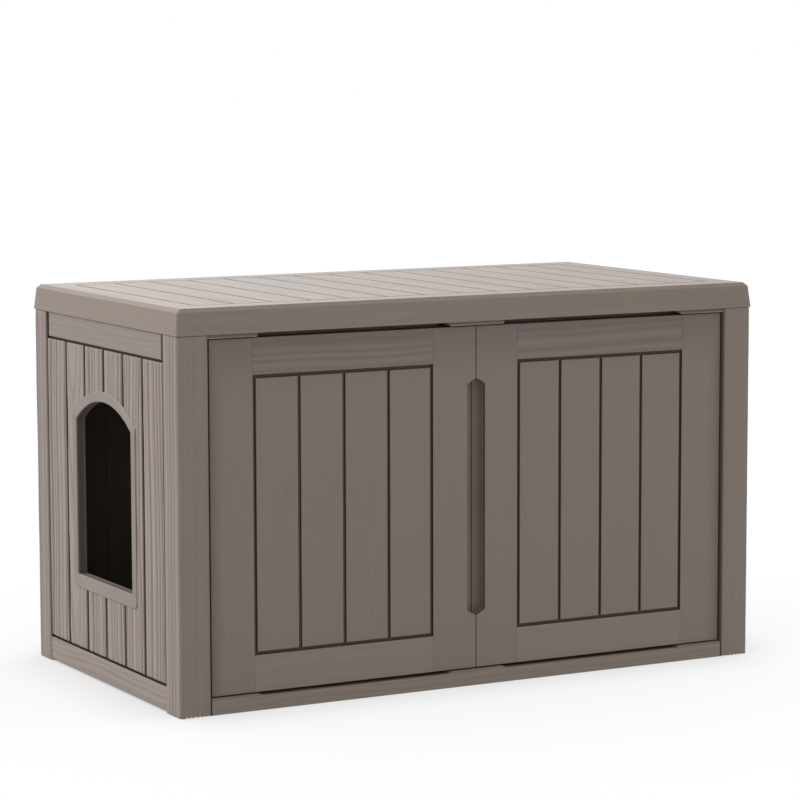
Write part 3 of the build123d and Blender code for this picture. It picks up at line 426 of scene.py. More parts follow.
class Finish(Nodes):
    """A material in the making."""

    def __init__(self, name, constants=()):
        self.material = bpy.data.materials.new(name)
        self.material.use_nodes = True
        self.boards = bpy.context.scene.enclosure_boards
        super().__init__(self.material.node_tree)
        self.shader = self.tree.nodes["Principled BSDF"]
        for key, value in dict(constants).items():
            self.feed(self.shader, key, value)

    def place(self):
        """Place in the part."""
        return self.add("TexCoord").outputs["Object"]

    def where(self):
        """Place in the part, split into X, Y and Z."""
        return self.add("SeparateXYZ", {"Vector": self.place()}).outputs

    def facing(self):
        """Way that the surface faces, split into X, Y and Z."""
        return self.add("SeparateXYZ", {"Vector": self.add("TexCoord").outputs["Normal"]}).outputs

    def stretch(self, vector, scale):
        """A place scaled along each axis."""
        return self.add("Mapping", {"Vector": vector, "Scale": scale}).outputs["Vector"]

    def noise(self, vector, scale, detail, more=(), **settings):
        """Clouds from 0 to 1."""
        inputs = {"Vector": vector, "Scale": scale, "Detail": detail, **dict(more)}
        return self.add("TexNoise", inputs, **settings).outputs["Fac"]

    def surface(self, tone, noise, rough, bump, height):
        """Ends the finish: its colour, and a roughness and fine bumps that follow a noise."""
        self.feed(self.shader, "Base Color", tone)
        self.feed(self.shader, "Roughness", self.ramp(noise, 0.3, 0.7, *rough))
        bumps = self.add("Bump", {"Height": noise, "Strength": bump, "Distance": height})
        self.feed(self.shader, "Normal", bumps.outputs["Normal"])
        return self.material


def colour4(colour, share=1.0):
    """A property's colour, scaled, with alpha."""
    return (colour[0] * share, colour[1] * share, colour[2] * share, 1.0)


def resin(share):
    """The resin's colour, scaled."""
    return colour4(bpy.context.scene.enclosure_colours.resin, share)


def groove():
    """The painted shade of the grooves, gaps and hollows."""
    return colour4(bpy.context.scene.enclosure_colours.groove)


def grained_resin(name, valley, streaks, ridge=1.04, narrow=1.0, painted_shade_reach=0.0, rim=1.0):
    """Moulded resin of the boards: darker in the grain's valleys, streaked along the grain, satin, with painted shade
    on the rims and, where asked, under the lid and beside the hinge edge.
    """
    mat = Finish(name)
    deep = mat.add("Attribute", attribute_name=GRAIN_DEPTH).outputs["Fac"]
    way = mat.add("UVMap", uv_map=GRAIN_MAP).outputs["UV"]
    streak = mat.noise(mat.stretch(way, (700, 16, 1)), 1.0, 4.0, {"Roughness": 0.6})
    cloud = mat.noise(mat.place(), 9.0, 3.0)
    on_top = mat.math("POWER", mat.math("MINIMUM", deep, 1.0), narrow)
    tone = mat.mix(mat.times(on_top, valley), resin(ridge), resin(0.4))
    tone = mat.mix(mat.ramp(streak, 0.35, 0.7, 0.0, streaks), tone, resin(0.62))
    tone = mat.mix(mat.ramp(cloud, 0.3, 0.7, 0.0, 0.08), tone, resin(1.2))
    # Painted shade: darker towards the door's top, under the lid, and towards the hinge edge, beside the post
    if painted_shade_reach:
        x, _, z = mat.where()
        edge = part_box("door_right")[1]
        hinge_shade_reach = 22 * MM
        lid_shadow = mat.ramp(z, edge.z - painted_shade_reach, edge.z, 0.0, 0.55)
        # painted shade beside the post at the hinge edge
        from_hinge = mat.math("SUBTRACT", edge.x, mat.size(x))
        beside = mat.math("SUBTRACT", 1.0, mat.math("DIVIDE", from_hinge, hinge_shade_reach), clamp=True)
        beside = mat.times(mat.math("POWER", beside, 1.5), 0.8)
        tone = mat.mix(mat.most(lid_shadow, beside), tone, resin(0.6))
    # Painted shade: the rims and undersides of the boards, marked by their grain depth, take the groove colour by the
    # rim share
    tone = mat.mix(mat.ramp(deep, 1.1, 1.7, 0.0, rim), tone, groove())
    return mat.surface(tone, streak, (0.5, 0.62), 0.35, 0.25 * MM)


def plain_resin(name, shade=None, light=None, gloss=0.5):
    """Moulded resin of the solids: pebbled and clouded, with painted shade where a shade says so and painted light
    where a light does.
    """
    mat = Finish(name, {"Specular IOR Level": gloss})
    place = mat.place()
    pebble = mat.noise(place, 900.0, 2.0)
    cloud = mat.noise(place, 9.0, 4.0)
    tone = mat.mix(mat.ramp(cloud, 0.3, 0.7), resin(0.96), resin(1.08))
    tone = mat.mix(mat.ramp(pebble, 0.35, 0.65, 0.0, 0.1), tone, resin(0.7))
    # Painted shade and painted light from the given masks
    if shade:
        tone = mat.mix(shade(mat), tone, groove())
    if light:
        tone = mat.mix(light(mat), tone, resin(2.0))
    return mat.surface(tone, pebble, (0.5, 0.62), 0.2, 0.15 * MM)


def lid_resin(name):
    """Resin of the lid: faint streaks that follow each board, front to back on the planks, with painted shade in the
    grooves and on the ends and painted light on the front and back.
    """
    mat = Finish(name)
    x, y, z = mat.where()
    to_x, to_y, to_z = mat.facing()
    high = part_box("lid")[1]
    far = mat.size(x), mat.size(y)
    border_x, border_y = (
        mat.ramp(away, edge - LID_BORDER, edge - LID_BORDER + SOFT) for away, edge in zip(far, (high.x, high.y))
    )
    to_side, to_front = (mat.ramp(mat.size(way), 0.6, 0.75) for way in (to_x, to_y))
    lengthwise = mat.most(mat.times(border_y, mat.rest(border_x), mat.rest(to_side)), to_front)
    plank = mat.math("FLOOR", mat.math("DIVIDE", x, LID_PITCH))
    chance = mat.add("TexWhiteNoise", {"W": plank}, noise_dimensions="1D").outputs["Value"]
    streak = mat.choose(lengthwise, *(
        mat.noise(mat.stretch(mat.place(), scale), 0.55, 5.0, {"W": chance, "Roughness": 0.62},
                     noise_dimensions="4D")
        for scale in ((520, 13, 520), (13, 520, 520))
    ))
    tone = mat.mix(mat.ramp(streak, 0.35, 0.7), resin(1.04), resin(0.93))
    tone = mat.mix(mat.times(chance, 0.12), tone, resin(0.8))
    # Painted shade: the lid's ends, facing the sides, are painted darker
    tone = mat.mix(to_side, tone, mat.mix(0.74, tone, resin(0.75)))
    # Painted light: the lid's front and back faces are painted brighter than its top and ends
    warm, front_lit = (mat.mix(1.0, tone, tint, "MULTIPLY") for tint in (LID_WARM, LID_FRONT_LIGHT))
    tone = mat.mix(to_front, warm, front_lit)
    # Painted shade in the grooves of the lid's planked field
    groove_shade = mat.times(
        mat.ramp(z, high.z - 0.2 * MM, high.z - 0.8 * MM),
        mat.ramp(z, high.z - 4 * MM, high.z - 4 * MM + SOFT),
        mat.ramp(to_z, -0.5, -0.4),
        *(mat.rest(mat.ramp(away, edge, edge + SOFT)) for away, edge in zip(far, LID_FIELD)),
    )
    tone = mat.mix(groove_shade, tone, groove())
    return mat.surface(tone, streak, (0.24, 0.34), 0.3, 0.2 * MM)


def small_finish(name, colour, rough, scale, metal=0.0, stretch=(1, 1, 1)):
    """Finish of a small part: clouded colour and roughness, with a fine surface."""
    mat = Finish(name, {"Metallic": metal})
    noise = mat.noise(mat.stretch(mat.place(), stretch), scale, 4.0)
    tone = mat.mix(mat.ramp(noise, 0.3, 0.7), colour4(colour, 0.82), colour4(colour, 1.12))
    return mat.surface(tone, noise, rough, 0.15, 0.08 * MM)


def wall_shade(mat):
    """Painted shade: where a wall panel faces out behind its planks, less between the planks than over and under them,
    and more faintly all of its inside.
    """
    boards = mat.boards
    x, y, z = mat.where()
    inner_sides = (mat.size(x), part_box("side_panel_right")[0].x), (y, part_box("back_panel")[0].y)
    sheet = 3.2 * MM, 3.8 * MM  # the sheet's outer side, a little inwards and outwards
    out = mat.most(*(mat.ramp(away, side + sheet[0], side + sheet[1]) for away, side in inner_sides))
    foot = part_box("base_rail_left")[1].z + boards.shadow_gap
    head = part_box("top_rail_left")[0].z - boards.top_gap
    between_planks = mat.times(
        mat.ramp(z, foot, foot + SOFT),
        mat.ramp(z, head, head - SOFT),
        mat.ramp(z, foot, head, 0.65, 0.3),
    )
    return mat.most(mat.times(out, mat.rest(between_planks)), 0.35)


def rail_shade(mat):
    """Painted shade: where a wall rail or the sill ends at a post, on its outer side, and on top of the base rails."""
    boards = mat.boards
    x, y, z = mat.where()
    far_x, far_y = mat.size(x), mat.size(y)
    post_low, post_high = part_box("post_rear_left")
    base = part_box("base_rail_left")[1].z
    rail_end = boards.rail_end + boards.rail_shy
    skin = 8 * MM  # how deep the outer side reaches
    near_x = mat.ramp(far_x, -post_low.x - skin, -post_low.x - skin + SOFT)
    near_y = mat.ramp(far_y, post_high.y - skin, post_high.y - skin + SOFT)
    at_back = mat.ramp(y, 0.0, SOFT)
    side, back, front = (
        mat.times(near, mat.ramp(away, end - 0.3 * MM, end))
        for near, away, end in (
            (near_x, far_y, post_low.y - rail_end),
            (near_y, far_x, -post_high.x - rail_end),
            (near_y, far_x, -post_high.x - boards.sill_end),
        )
    )
    ledge = mat.times(
        mat.ramp(mat.facing()["Z"], 0.6, 0.8),
        mat.ramp(z, base + 2 * SOFT, base + SOFT),
        mat.most(near_x, mat.times(near_y, at_back)),
    )
    return mat.most(side, mat.choose(at_back, front, back), ledge)


def post_shade(mat):
    """Painted shade: where a post faces its neighbours in the gaps beside the planks, the rails and the doors, and on
    the rear posts' bare strip.
    """
    boards = mat.boards
    where, facing = mat.where(), mat.facing()
    post_low, post_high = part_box("post_rear_left")
    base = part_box("base_rail_left")[1].z
    strip = post_low.y + boards.rear_strip
    door_side, plank_side = 25 * MM, 12 * MM  # depth of the gaps
    shades = []
    for ahead, aside, edge, share in (
        ("X", "Y", post_high.y - door_side, 0.3),
        ("Y", "X", -post_low.x - plank_side, 1.0),
    ):
        outward = mat.times(facing[ahead], mat.math("SIGN", where[ahead]))
        near = mat.ramp(mat.size(where[aside]), edge, edge + 2 * SOFT)
        shades.append(mat.times(mat.ramp(outward, -0.7, -0.9, 0.0, share), near))
    # Painted shade: the rear posts' bare strip beside the side planks, which their faces leave free, is painted dark as
    # a gap
    strip_shade = mat.times(
        mat.ramp(mat.size(facing["X"]), 0.8, 0.9),
        mat.ramp(where["Y"], strip + 0.3 * MM, strip),
        mat.ramp(where["Y"], 0.0, SOFT),
        mat.ramp(where["Z"], base - SOFT, base),
    )
    return mat.most(*shades, strip_shade)


def header_light(mat):
    """Painted light: where the header's pads ramp back under the lid, painted paler against the lid's shadow."""
    _, to_y, to_z = mat.facing()
    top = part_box("top_rail_left")[1].z
    return mat.times(
        mat.ramp(to_z, 0.2, 0.4),
        mat.ramp(to_y, -0.3, -0.5),
        mat.ramp(mat.where()["Z"], top - 6 * MM, top),
    )


def entry_shade(mat):
    """Painted shade: where the doorway's tunnel runs in behind the planks, less at its lip and on its sill, and on its
    jambs.
    """
    boards = mat.boards
    x, y, z = mat.where()
    far = mat.size(x)
    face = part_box("side_panel_right")[1].x
    spring = boards.arch_crown - boards.arch_radius + 120 * MM  # where the jambs end
    tunnel = mat.times(
        mat.ramp(far, face + 1.5 * SOFT, face - SOFT, 0.0, 0.58),
        mat.ramp(far, face - 7 * MM, face - 9 * MM, 1.0, 0.45),
        mat.ramp(mat.facing()["Z"], 0.4, 0.8, 1.0, 0.85),
    )
    jambs = mat.times(
        mat.ramp(z, boards.arch_sill - 4 * MM, boards.arch_sill + 4 * MM),
        mat.ramp(z, spring + 30 * MM, spring, 0.0, 0.13),
        mat.ramp(mat.size(y), boards.arch_half - SOFT, boards.arch_half),
    )
    return mat.most(tunnel, jambs)


def door_shade(mat):
    """Painted shade where a door's front lies deep: the grooves, fainter at the hinge edge, and the finger pull."""
    x, y, _ = mat.where()
    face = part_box("door_left")[0].y
    hinge_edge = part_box("door_right")[1].x
    grooves = mat.times(
        mat.ramp(y, face + 0.3 * SOFT, face + SOFT),
        mat.ramp(y, face + 4 * MM, face + 3.4 * MM),
        mat.ramp(mat.size(x), hinge_edge - SOFT, hinge_edge - 0.3 * SOFT, 1.0, 0.45),
    )
    pull = mat.times(mat.ramp(mat.facing()["Y"], -0.4, -0.6), mat.ramp(y, face + 4 * MM, face + 6 * MM), 0.3)
    return mat.most(grooves, pull)


def left_door_shade(mat):
    """Painted shade on the left door: its grooves and pull, and the bare strips beside its shifted planks."""
    boards = mat.boards
    x, y, z = mat.where()
    low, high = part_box("door_left")
    pitch = (high.x - low.x - 2 * boards.stile) / boards.door_planks
    soft = 0.1 * MM
    strips = []
    for i, shift in enumerate(boards.left_shifts):
        end = low.x + boards.stile + i * pitch - boards.groove / 2
        strips.append(mat.times(mat.ramp(x, end - shift - soft, end - shift), mat.ramp(x, end + soft, end)))
    foot = low.z + boards.rail_bottom - boards.groove / 2
    head = high.z - boards.rail_top + boards.groove / 2
    # Painted shade: the solid door's bare strips beside the shifted planks are painted as dark as the grooves
    bare = mat.times(
        mat.most(*strips),
        mat.ramp(z, foot - soft, foot),
        mat.ramp(z, head + soft, head),
        mat.ramp(y, low.y + 0.5 * MM, low.y + 0.4 * MM),
    )
    return mat.most(door_shade(mat), bare)


class ENCLOSURE_OT_finish_solids(bpy.types.Operator):
    """Give every solid its own finish"""

    bl_idname = "enclosure.finish_solids"
    bl_label = "Finish the solids"

    def execute(self, context):
        colours = context.scene.enclosure_colours
        # The first row with a word that is in a solid's name gives its finish
        finishes = (
            (("bush", "catch_body"), small_finish("black_nylon", colours.nylon, (0.4, 0.55), 700.0)),
            (("catch_",), small_finish("ferrite", colours.ferrite, (0.5, 0.7), 900.0)),
            # painted shade on the floor panel and the retainer inside
            (("floor_panel", "retainer"), small_finish("resin_inner_shade", colours.inner, (0.5, 0.65), 700.0)),
            (("pin", "screw", "strike"),
             small_finish("zinc_steel", colours.steel, (0.24, 0.4), 400.0, 1.0, (1, 1, 0.2))),
            (("door_left",), plain_resin("resin_left_door", left_door_shade)),
            (("door_right",), plain_resin("resin_door", door_shade)),
            (("_panel",), plain_resin("resin_wall_sheet", wall_shade, gloss=0.15)),
            (("lid",), lid_resin("resin_lid")),
            (("_rail_", "sill_rail"), plain_resin("resin_rail", rail_shade, gloss=0.15)),
            (("post_",), plain_resin("resin_post", post_shade)),
            (("entry_frame",), plain_resin("resin_entry", entry_shade)),
            # painted light on the header's pads under the lid
            (("header_rail",), plain_resin("resin_header", light=header_light)),
        )
        for name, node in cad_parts.items():
            finish = next(finish for words, finish in finishes if any(word in name for word in words))
            node.data.materials.clear()
            node.data.materials.append(finish)
        return {"FINISHED"}


def doorway_cut(boards, start, foot):
    """A test for places on a plank that lie in the doorway; the plank's corner is at start along the wall."""

    def cut(x, y):
        sideways, height = start + x, foot + y
        above = max(height - (boards.arch_crown - boards.arch_radius), 0)
        under_arch = math.hypot(sideways, above) < boards.arch_radius + ENTRY_TRIM
        return abs(sideways) < boards.arch_half + ENTRY_TRIM and height > boards.arch_sill - ENTRY_TRIM and under_arch

    return cut


class ENCLOSURE_OT_wall_planks(bpy.types.Operator):
    """Model the grained planks of the three walls, cut round the doorway on the left"""

    bl_idname = "enclosure.wall_planks"
    bl_label = "Wall planks"

    def execute(self, context):
        grain = context.scene.enclosure_grain
        boards = context.scene.enclosure_boards
        finish = grained_resin("resin_planks", 1.0, 0.22, 1.28, 1.9, rim=0.7)
        gap = boards.shadow_gap
        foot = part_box("base_rail_left")[1].z + gap
        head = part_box("top_rail_left")[0].z - boards.top_gap
        doorway_run = 4 * MM
        for wall, normal in WALLS.items():
            on_back, on_left = wall == "back", wall == "left"
            low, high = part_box("back_panel" if on_back else f"side_panel_{wall}")
            face = max(abs(c) for c in ((low.y, high.y) if on_back else (low.x, high.x)))
            count = boards.back_planks if on_back else boards.side_planks
            pitch = (bay(wall) - gap) / count
            width = pitch - gap
            across = UP.cross(normal)
            rng = np.random.default_rng(grain.seed + len(wall))
            planks = []
            for i in range(count):
                offset = (i - (count - 1) / 2) * pitch
                middle = normal * face + across * offset + UP * (head + foot) / 2
                cathedral = rng.random() < 0.4
                pattern = ring_pattern(
                    grain.seed + 31 * i + 7 * len(wall), width, grain.spacing * rng.uniform(0.85, 1.2),
                    heart=rng.uniform(0.1, 0.9) if cathedral else rng.choice([-3.5, -2.0, 3.0, 4.5]),
                    taper=rng.choice([-1, 1]) * rng.uniform(0.05, 0.11) if cathedral else rng.uniform(-0.012, 0.012),
                    wander=rng.uniform(0.8, 2.2) * MM,
                )
                over = [boards.plank_over, boards.plank_over, boards.foot_over, boards.plank_over]
                if not on_back and i == 0:
                    over[0] = boards.rear_over if on_left else boards.front_over
                if not on_back and i == count - 1:
                    over[1] = boards.front_over if on_left else boards.rear_over
                planks.append(lay_board(
                    f"plank_{wall}_{i}", middle, UP, normal, width, head - foot, pattern, grain.relief, over,
                    grain.step, doorway_run if on_left else grain.run, lift=grain.lift, radius=grain.edge_round,
                    depth=boards.plank_rise + SHY, soft_edge=grain.soft_edge,
                    cut=doorway_cut(boards, offset - width / 2, foot) if on_left else None,
                ))
            join_boards(f"wall_planks_{wall}", planks, "carcass", finish)
        return {"FINISHED"}


class ENCLOSURE_OT_corner_posts(bpy.types.Operator):
    """Model the ridged faces of the corner posts, wrapped round their outer corners"""

    bl_idname = "enclosure.corner_posts"
    bl_label = "Corner posts"

    def execute(self, context):
        grain = context.scene.enclosure_grain
        boards = context.scene.enclosure_boards
        finish = grained_resin("resin_posts", 0.34, 0.08, 1.1)
        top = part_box("header_rail")[1].z - HEADER_RISE
        height = top - 0.4 * MM
        arc = POST_ROUND * math.pi / 2
        # the soft edge is a lowered strip along the post's edges with painted shade
        step, soft_edge = 1 * MM, 2 * MM
        for index, name in enumerate(("post_front_left", "post_front_right", "post_rear_left", "post_rear_right")):
            low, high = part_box(name)
            to_x = 1 if low.x > 0 else -1
            to_y = 1 if low.y > 0 else -1
            rear = to_y > 0
            face_x = high.x - low.x
            flat_x = face_x - POST_ROUND
            width = face_x + high.y - low.y - 2 * POST_ROUND + arc
            edges = (-SHY, -boards.rear_strip if rear else -SHY, 0.0, 0.0)

            def lid_sweep(x, y, rear=rear, face_x=face_x):
                return rear and y > top - 6 * MM and x < face_x + 3 * MM

            board = flat_board(f"{name}_face", width, height, step, grain.run, edges, FACE_ROUND, FACE_DEPTH, lid_sweep)
            rings = ring_pattern(grain.seed + 400 + index, width, grain.spacing, heart=-5.0, taper=0.004,
                                 wander=1.0 * MM, fine_share=0.2)

            def pattern(across, along, face_x=face_x):
                return rings(across, along) * np.interp(across, [face_x - 6 * MM, face_x + 2 * MM], [0.4, 1.0])

            raise_grain(board, width, height, edges, FACE_ROUND, pattern, grain.lift, grain.relief, soft_edge)
            s, z, h = read_places(board.data).T
            if not rear:
                tooth = boards.foot_tooth * (1 - np.abs(2 * np.mod(s / (flat_x / boards.foot_teeth), 1) - 1))
                z = z + np.where((s < flat_x) & (z < 1 * MM), tooth, 0)
            turn = np.clip((s - flat_x) / POST_ROUND, 0, math.pi / 2)
            on_second = np.clip(s - flat_x - arc, 0, None)
            corner_x = abs(high.x if to_x > 0 else low.x) - POST_ROUND
            corner_y = abs(high.y if to_y > 0 else low.y) - POST_ROUND
            out = POST_ROUND + h
            x = np.where(s < flat_x, corner_x - flat_x + s, corner_x + out * np.sin(turn))
            y = np.where(s < flat_x, corner_y + out, corner_y + out * np.cos(turn) - on_second)
            write_places(board.data, np.stack([to_x * x, to_y * y, z], axis=1))
            select_only([board])
            bpy.ops.object.mode_set(mode="EDIT")
            face_outwards()
            join_boards(f"{name}_face", [board], "carcass", finish)
        return {"FINISHED"}


class ENCLOSURE_OT_rail_boards(bpy.types.Operator):
    """Model the broad-grained faces of the wall rails and of the front sill"""

    bl_idname = "enclosure.rail_boards"
    bl_label = "Rails"

    def execute(self, context):
        grain = context.scene.enclosure_grain
        boards = context.scene.enclosure_boards
        levels = (
            ("base", boards.base_end, grained_resin("resin_base_rails", 0.45, 0.1, 1.2)),
            # The top rails' faces stop short of their ends, where the bare rail is painted in shade
            ("top", boards.rail_end + boards.rail_shy, grained_resin("resin_top_rails", 0.12, 0.1, 0.97)),
        )
        seed = grain.seed + 700
        for wall, normal in WALLS.items():
            for level, end, finish in levels:
                seed += 1
                low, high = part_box(f"{level}_rail_{wall}")
                face = {"left": -low.x, "right": high.x, "back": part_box("base_rail_back")[1].y}[wall]
                top = high.z
                if level == "top":
                    top = BACK_RAIL_TOP if wall == "back" else RAIL_TOP
                width = top - low.z
                middle = normal * face + UP * (low.z + top) / 2
                pattern = ring_pattern(seed, width, grain.rail_spacing, heart=-1.5, taper=0.006, wander=3 * MM)
                board = lay_board(f"rail_{level}_{wall}", middle, UP.cross(normal), normal, width, bay(wall) - 2 * end,
                                  pattern, grain.rail_relief, [-SHY] * 4, RAIL_STEP, RAIL_RUN)
                join_boards(f"rail_face_{level}_{wall}", [board], "carcass", finish)
        width = boards.sill
        middle = Vector((0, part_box("sill_rail")[0].y, width / 2))
        finer = 0.6
        pattern = ring_pattern(seed + 9, width, grain.rail_spacing * finer, heart=-1.5, taper=0.003, wander=2 * MM)
        # The sill's face stops short of the posts, where the bare sill ends are painted in shade
        board = lay_board("sill_face", middle, RIGHT, FRONT, width, bay("back") - 2 * boards.sill_end, pattern,
                          grain.rail_relief * finer, (-SHY, -2 * SHY, -SHY, -SHY), 1 * MM, 9 * MM,
                          lift=0.25 * MM, radius=0.5 * MM)
        join_boards("sill_face", [board], "carcass", grained_resin("resin_sill", 0.3, 0.1, 1.22))
        return {"FINISHED"}


class ENCLOSURE_OT_door_boards(bpy.types.Operator):
    """Model the stiles, rails and planks of the two doors"""

    bl_idname = "enclosure.door_boards"
    bl_label = "Door boards"

    def execute(self, context):
        grain = context.scene.enclosure_grain
        boards = context.scene.enclosure_boards
        # The door boards and the doors' top rails get painted shade under the lid and beside the hinge edge
        resin_doors = grained_resin("resin_doors", 0.1, 0.07, painted_shade_reach=85 * MM)
        rail_finishes = {
            "bottom": grained_resin("resin_door_bottom_rail", 0.1, 0.05, 1.15),
            "top": grained_resin("resin_door_top_rail", 0.5, 0.05, painted_shade_reach=38 * MM),
        }
        half_groove = boards.groove / 2
        stile = boards.stile - half_groove
        shy = -2 * SHY
        seam_over = 0.2 * MM  # how far the stiles reach into the seam between the doors
        groove_depth = 3 * MM
        point_run = 30 * MM  # how far the pull's pointed ends bend the mesh
        for door, side in DOORS.items():
            low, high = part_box(f"door_{door}")
            face = low.y
            height = high.z - low.z
            width = high.x - low.x
            field_low = low.z + boards.rail_bottom
            field_high = high.z - boards.rail_top
            rng = np.random.default_rng(grain.seed + 1000 + side)
            pieces = []
            pitch = (width - 2 * boards.stile) / boards.door_planks
            plank = pitch - boards.groove
            plank_length = field_high - field_low - boards.groove
            shifts = list(boards.left_shifts) if door == "left" else [0.0] * len(boards.left_shifts)
            for i in range(boards.door_planks):
                x = low.x + boards.stile + (i + 0.5) * pitch
                middle = Vector((x, face, (field_low + field_high) / 2))
                cathedral = rng.random() < 0.3
                pattern = ring_pattern(
                    grain.seed + 1100 + 17 * i + 5 * side, plank, grain.door_spacing,
                    heart=rng.uniform(0.2, 0.8) if cathedral else rng.choice([-3.0, 4.0]),
                    taper=rng.choice([-1, 1]) * rng.uniform(0.02, 0.045) if cathedral else rng.uniform(-0.006, 0.006),
                    wander=rng.uniform(0.5, 1.4) * MM,
                )
                edges = (SHY + shifts[i], SHY - shifts[i + 1], SHY, SHY)
                pieces.append(lay_board(
                    f"plank_{door}_{i}", middle, UP, FRONT, plank, plank_length, pattern, grain.door_relief, edges,
                    0.9 * MM, 9 * MM, lift=grain.lift, radius=grain.edge_round, depth=groove_depth + SHY,
                ))
            pull_low = boards.pull_low
            pull_high = height - boards.pull_high
            for index, left_edge in enumerate((low.x, high.x - stile)):
                middle = Vector((left_edge + stile / 2, face, (low.z + high.z) / 2))
                at_seam = (index == 0) == (side > 0)

                def in_pull(x, y, left_edge=left_edge, at_seam=at_seam):
                    return at_seam and abs(left_edge + x) < boards.pull_half and pull_low < y < pull_high

                def to_point(x, y, left_edge=left_edge):
                    share = np.clip(1 - np.abs(left_edge + x) / boards.pull_half, 0, 1)
                    near_low, near_high = (
                        np.interp(y, [end - point_run, end, end + point_run], [0, 1, 0])
                        for end in (pull_low, pull_high)
                    )
                    return boards.pull_point * share * (near_high - near_low)

                edges = [shy, shy - shifts[0], shy, shy] if index == 0 else [shy + shifts[-1], shy, shy, shy]
                if at_seam:
                    edges[0 if side > 0 else 1] = seam_over
                pull_edge = math.copysign(boards.pull_half, side) - left_edge
                marks = ((pull_edge,), (pull_low, pull_high)) if at_seam else ((), ())
                pattern = ring_pattern(grain.seed + 1300 + 3 * index + side, stile, grain.door_spacing, heart=-4.0,
                                       taper=0.003, wander=1.2 * MM)
                pieces.append(lay_board(
                    f"stile_{door}_{index}", middle, UP, FRONT, stile, height, pattern, grain.door_relief, edges,
                    0.95 * MM, 4 * MM, cut=in_pull, marks=marks, warp=to_point if at_seam else None,
                ))
            join_boards(f"door_boards_{door}", pieces, f"door_{door}", resin_doors)
            for level, bottom, top in (
                ("bottom", low.z, field_low - half_groove),
                ("top", field_high + half_groove, high.z),
            ):
                middle = Vector(((low.x + high.x) / 2, face, (bottom + top) / 2))
                pattern = ring_pattern(grain.seed + 1500 + len(level) + side, top - bottom, 13 * MM, heart=-1.2,
                                       taper=0.003, wander=1.8 * MM)
                edges = (shy, shy, shy + shifts[0], shy - shifts[-1])
                rail = lay_board(f"rail_{door}_{level}", middle, RIGHT, FRONT, top - bottom, width - 2 * stile, pattern,
                                 grain.rail_relief, edges, RAIL_STEP, RAIL_RUN)
                join_boards(rail.name, [rail], f"door_{door}", rail_finishes[level])
        return {"FINISHED"}


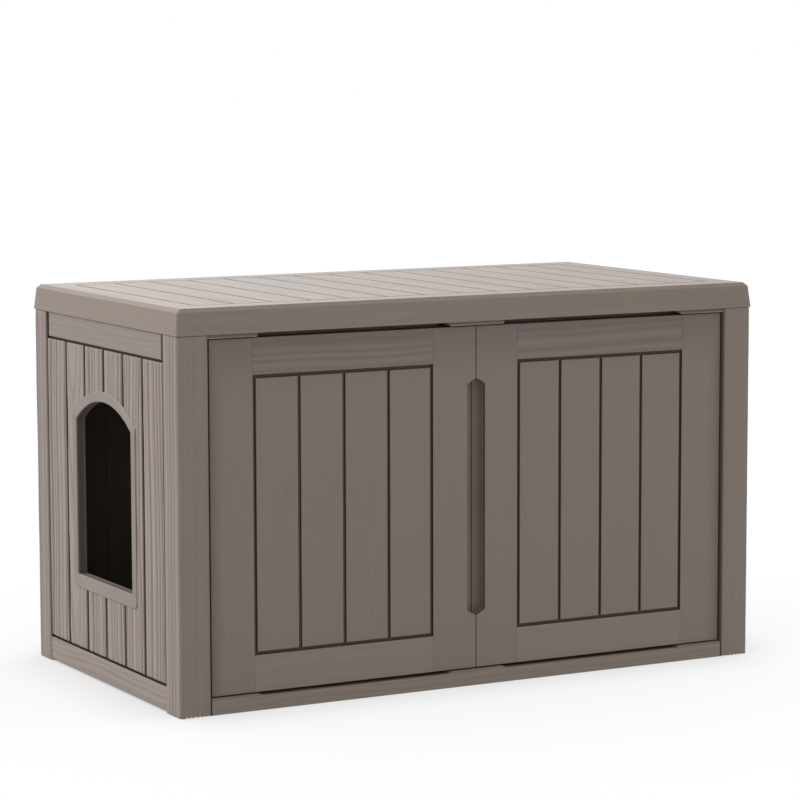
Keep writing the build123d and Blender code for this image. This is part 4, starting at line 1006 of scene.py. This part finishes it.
class ENCLOSURE_OT_stage(bpy.types.Operator):
    """Set the pale floor, the soft light and the camera"""

    bl_idname = "enclosure.stage"
    bl_label = "Stage"

    def execute(self, context):
        stage = context.scene.enclosure_stage
        scene = context.scene
        deselect_all()
        bpy.ops.mesh.primitive_plane_add(size=60, location=(0, 0, -0.2 * MM))
        floor = context.object
        floor.name = "studio_floor"
        # Seen rays get part of the floor's light as a glow, dimmed within reach of the enclosure as a painted contact
        # shadow
        glow, contact_shadow, reach, share = 1.31, 0.64, 0.11, 0.55
        mat = Finish("studio_floor", {"Base Color": colour4(stage.floor), "Roughness": 1.0, "Specular IOR Level": 0.0})
        free = mat.add("AmbientOcclusion", {"Distance": reach}).outputs["AO"]
        strength = mat.ramp(free, 0.0, 1.0, glow * contact_shadow, glow, "LINEAR")
        shine = mat.add("Emission", {"Strength": strength}).outputs[0]
        seen = mat.times(mat.seen_rays(), share)
        blend = mat.add("MixShader", {0: seen, 1: mat.shader.outputs[0], 2: shine}).outputs[0]
        mat.feed(mat.tree.nodes["Material Output"], "Surface", blend)
        floor.data.materials.append(mat.material)

        world = scene.world or bpy.data.worlds.new("studio")
        scene.world = world
        world.use_nodes = True
        nodes = Nodes(world.node_tree)
        back = nodes.tree.nodes["Background"]
        nodes.feed(back, "Color", (1, 1, 1, 1))
        even = nodes.ramp(nodes.seen_rays(), 0.0, 1.0, stage.fill, 1.0, "LINEAR")
        # Gloss mirrors a softbox: brighter to the camera's left, darker far to both sides
        to_right = (math.cos(stage.yaw), -math.sin(stage.yaw), 0)
        way = nodes.add("TexCoord").outputs["Generated"]
        sideways = nodes.add("VectorMath", {0: way, 1: to_right}, operation="DOT_PRODUCT").outputs["Value"]
        softbox = nodes.times(
            nodes.ramp(sideways, -0.15, 0.15, 1.27, 0.73, "LINEAR"),
            nodes.ramp(nodes.size(sideways), 0.2, 0.6, 1.0, 0.7, "LINEAR"),
        )
        glossy = nodes.add("LightPath").outputs["Is Glossy Ray"]
        nodes.feed(back, "Strength", nodes.choose(glossy, even, softbox))

        bpy.ops.object.light_add(type="SUN", location=(-3, 2.2, 3.2))
        key = context.object
        key.name = "key_light"
        key.data.energy = stage.key
        key.data.color = (1.0, 0.985, 1.07)
        key.data.angle = math.radians(28)
        key.rotation_euler = Vector((0.6, -0.45, -0.66)).to_track_quat("-Z", "Y").to_euler()

        unlit = bpy.data.collections.new("key_light_receivers")
        unlit.objects.link(floor)
        unlit.collection_objects[0].light_linking.link_state = "EXCLUDE"
        key.light_linking.receiver_collection = unlit

        bpy.ops.object.camera_add()
        camera = context.object
        camera.name = "photo_camera"
        camera.data.lens = stage.lens
        camera.data.sensor_width = 36
        camera.data.clip_end = 100
        turn = (
            Matrix.Rotation(-stage.yaw, 4, "Z")
            @ Matrix.Rotation(math.radians(90) - stage.pitch, 4, "X")
            @ Matrix.Rotation(stage.roll, 4, "Z")
        )
        camera.matrix_world = Matrix.Translation(stage.camera) @ turn
        scene.camera = camera
        scene.view_settings.view_transform = "Standard"
        return {"FINISHED"}


OPERATORS = (
    ENCLOSURE_OT_finish_solids,
    ENCLOSURE_OT_wall_planks,
    ENCLOSURE_OT_corner_posts,
    ENCLOSURE_OT_rail_boards,
    ENCLOSURE_OT_door_boards,
    ENCLOSURE_OT_stage,
)


class ENCLOSURE_PT_sidebar(bpy.types.Panel):
    """Sizes, colours and steps of the enclosure"""

    bl_idname = "ENCLOSURE_PT_sidebar"
    bl_label = "Litter box enclosure"
    bl_space_type = "VIEW_3D"
    bl_region_type = "UI"
    bl_category = "Enclosure"

    def draw(self, context):
        layout = self.layout
        for group in GROUPS:
            box = layout.box()
            settings = getattr(context.scene, group)
            for name in settings.__annotations__:
                box.prop(settings, name)
        for operator in OPERATORS:
            layout.operator(operator.bl_idname)


GROUPS = {
    "enclosure_grain": EnclosureGrain,
    "enclosure_boards": EnclosureBoards,
    "enclosure_colours": EnclosureColours,
    "enclosure_stage": EnclosureStage,
}
CLASSES = tuple(GROUPS.values()) + OPERATORS + (ENCLOSURE_PT_sidebar,)


def register():
    for cls in CLASSES:
        bpy.utils.register_class(cls)
    for name, group in GROUPS.items():
        setattr(bpy.types.Scene, name, PointerProperty(type=group))


def unregister():
    for name in GROUPS:
        delattr(bpy.types.Scene, name)
    for cls in reversed(CLASSES):
        bpy.utils.unregister_class(cls)


def main():
    register()
    bpy.ops.enclosure.finish_solids()
    bpy.ops.enclosure.wall_planks()
    bpy.ops.enclosure.corner_posts()
    bpy.ops.enclosure.rail_boards()
    bpy.ops.enclosure.door_boards()
    bpy.ops.enclosure.stage()


if __name__ == "__main__":
    main()
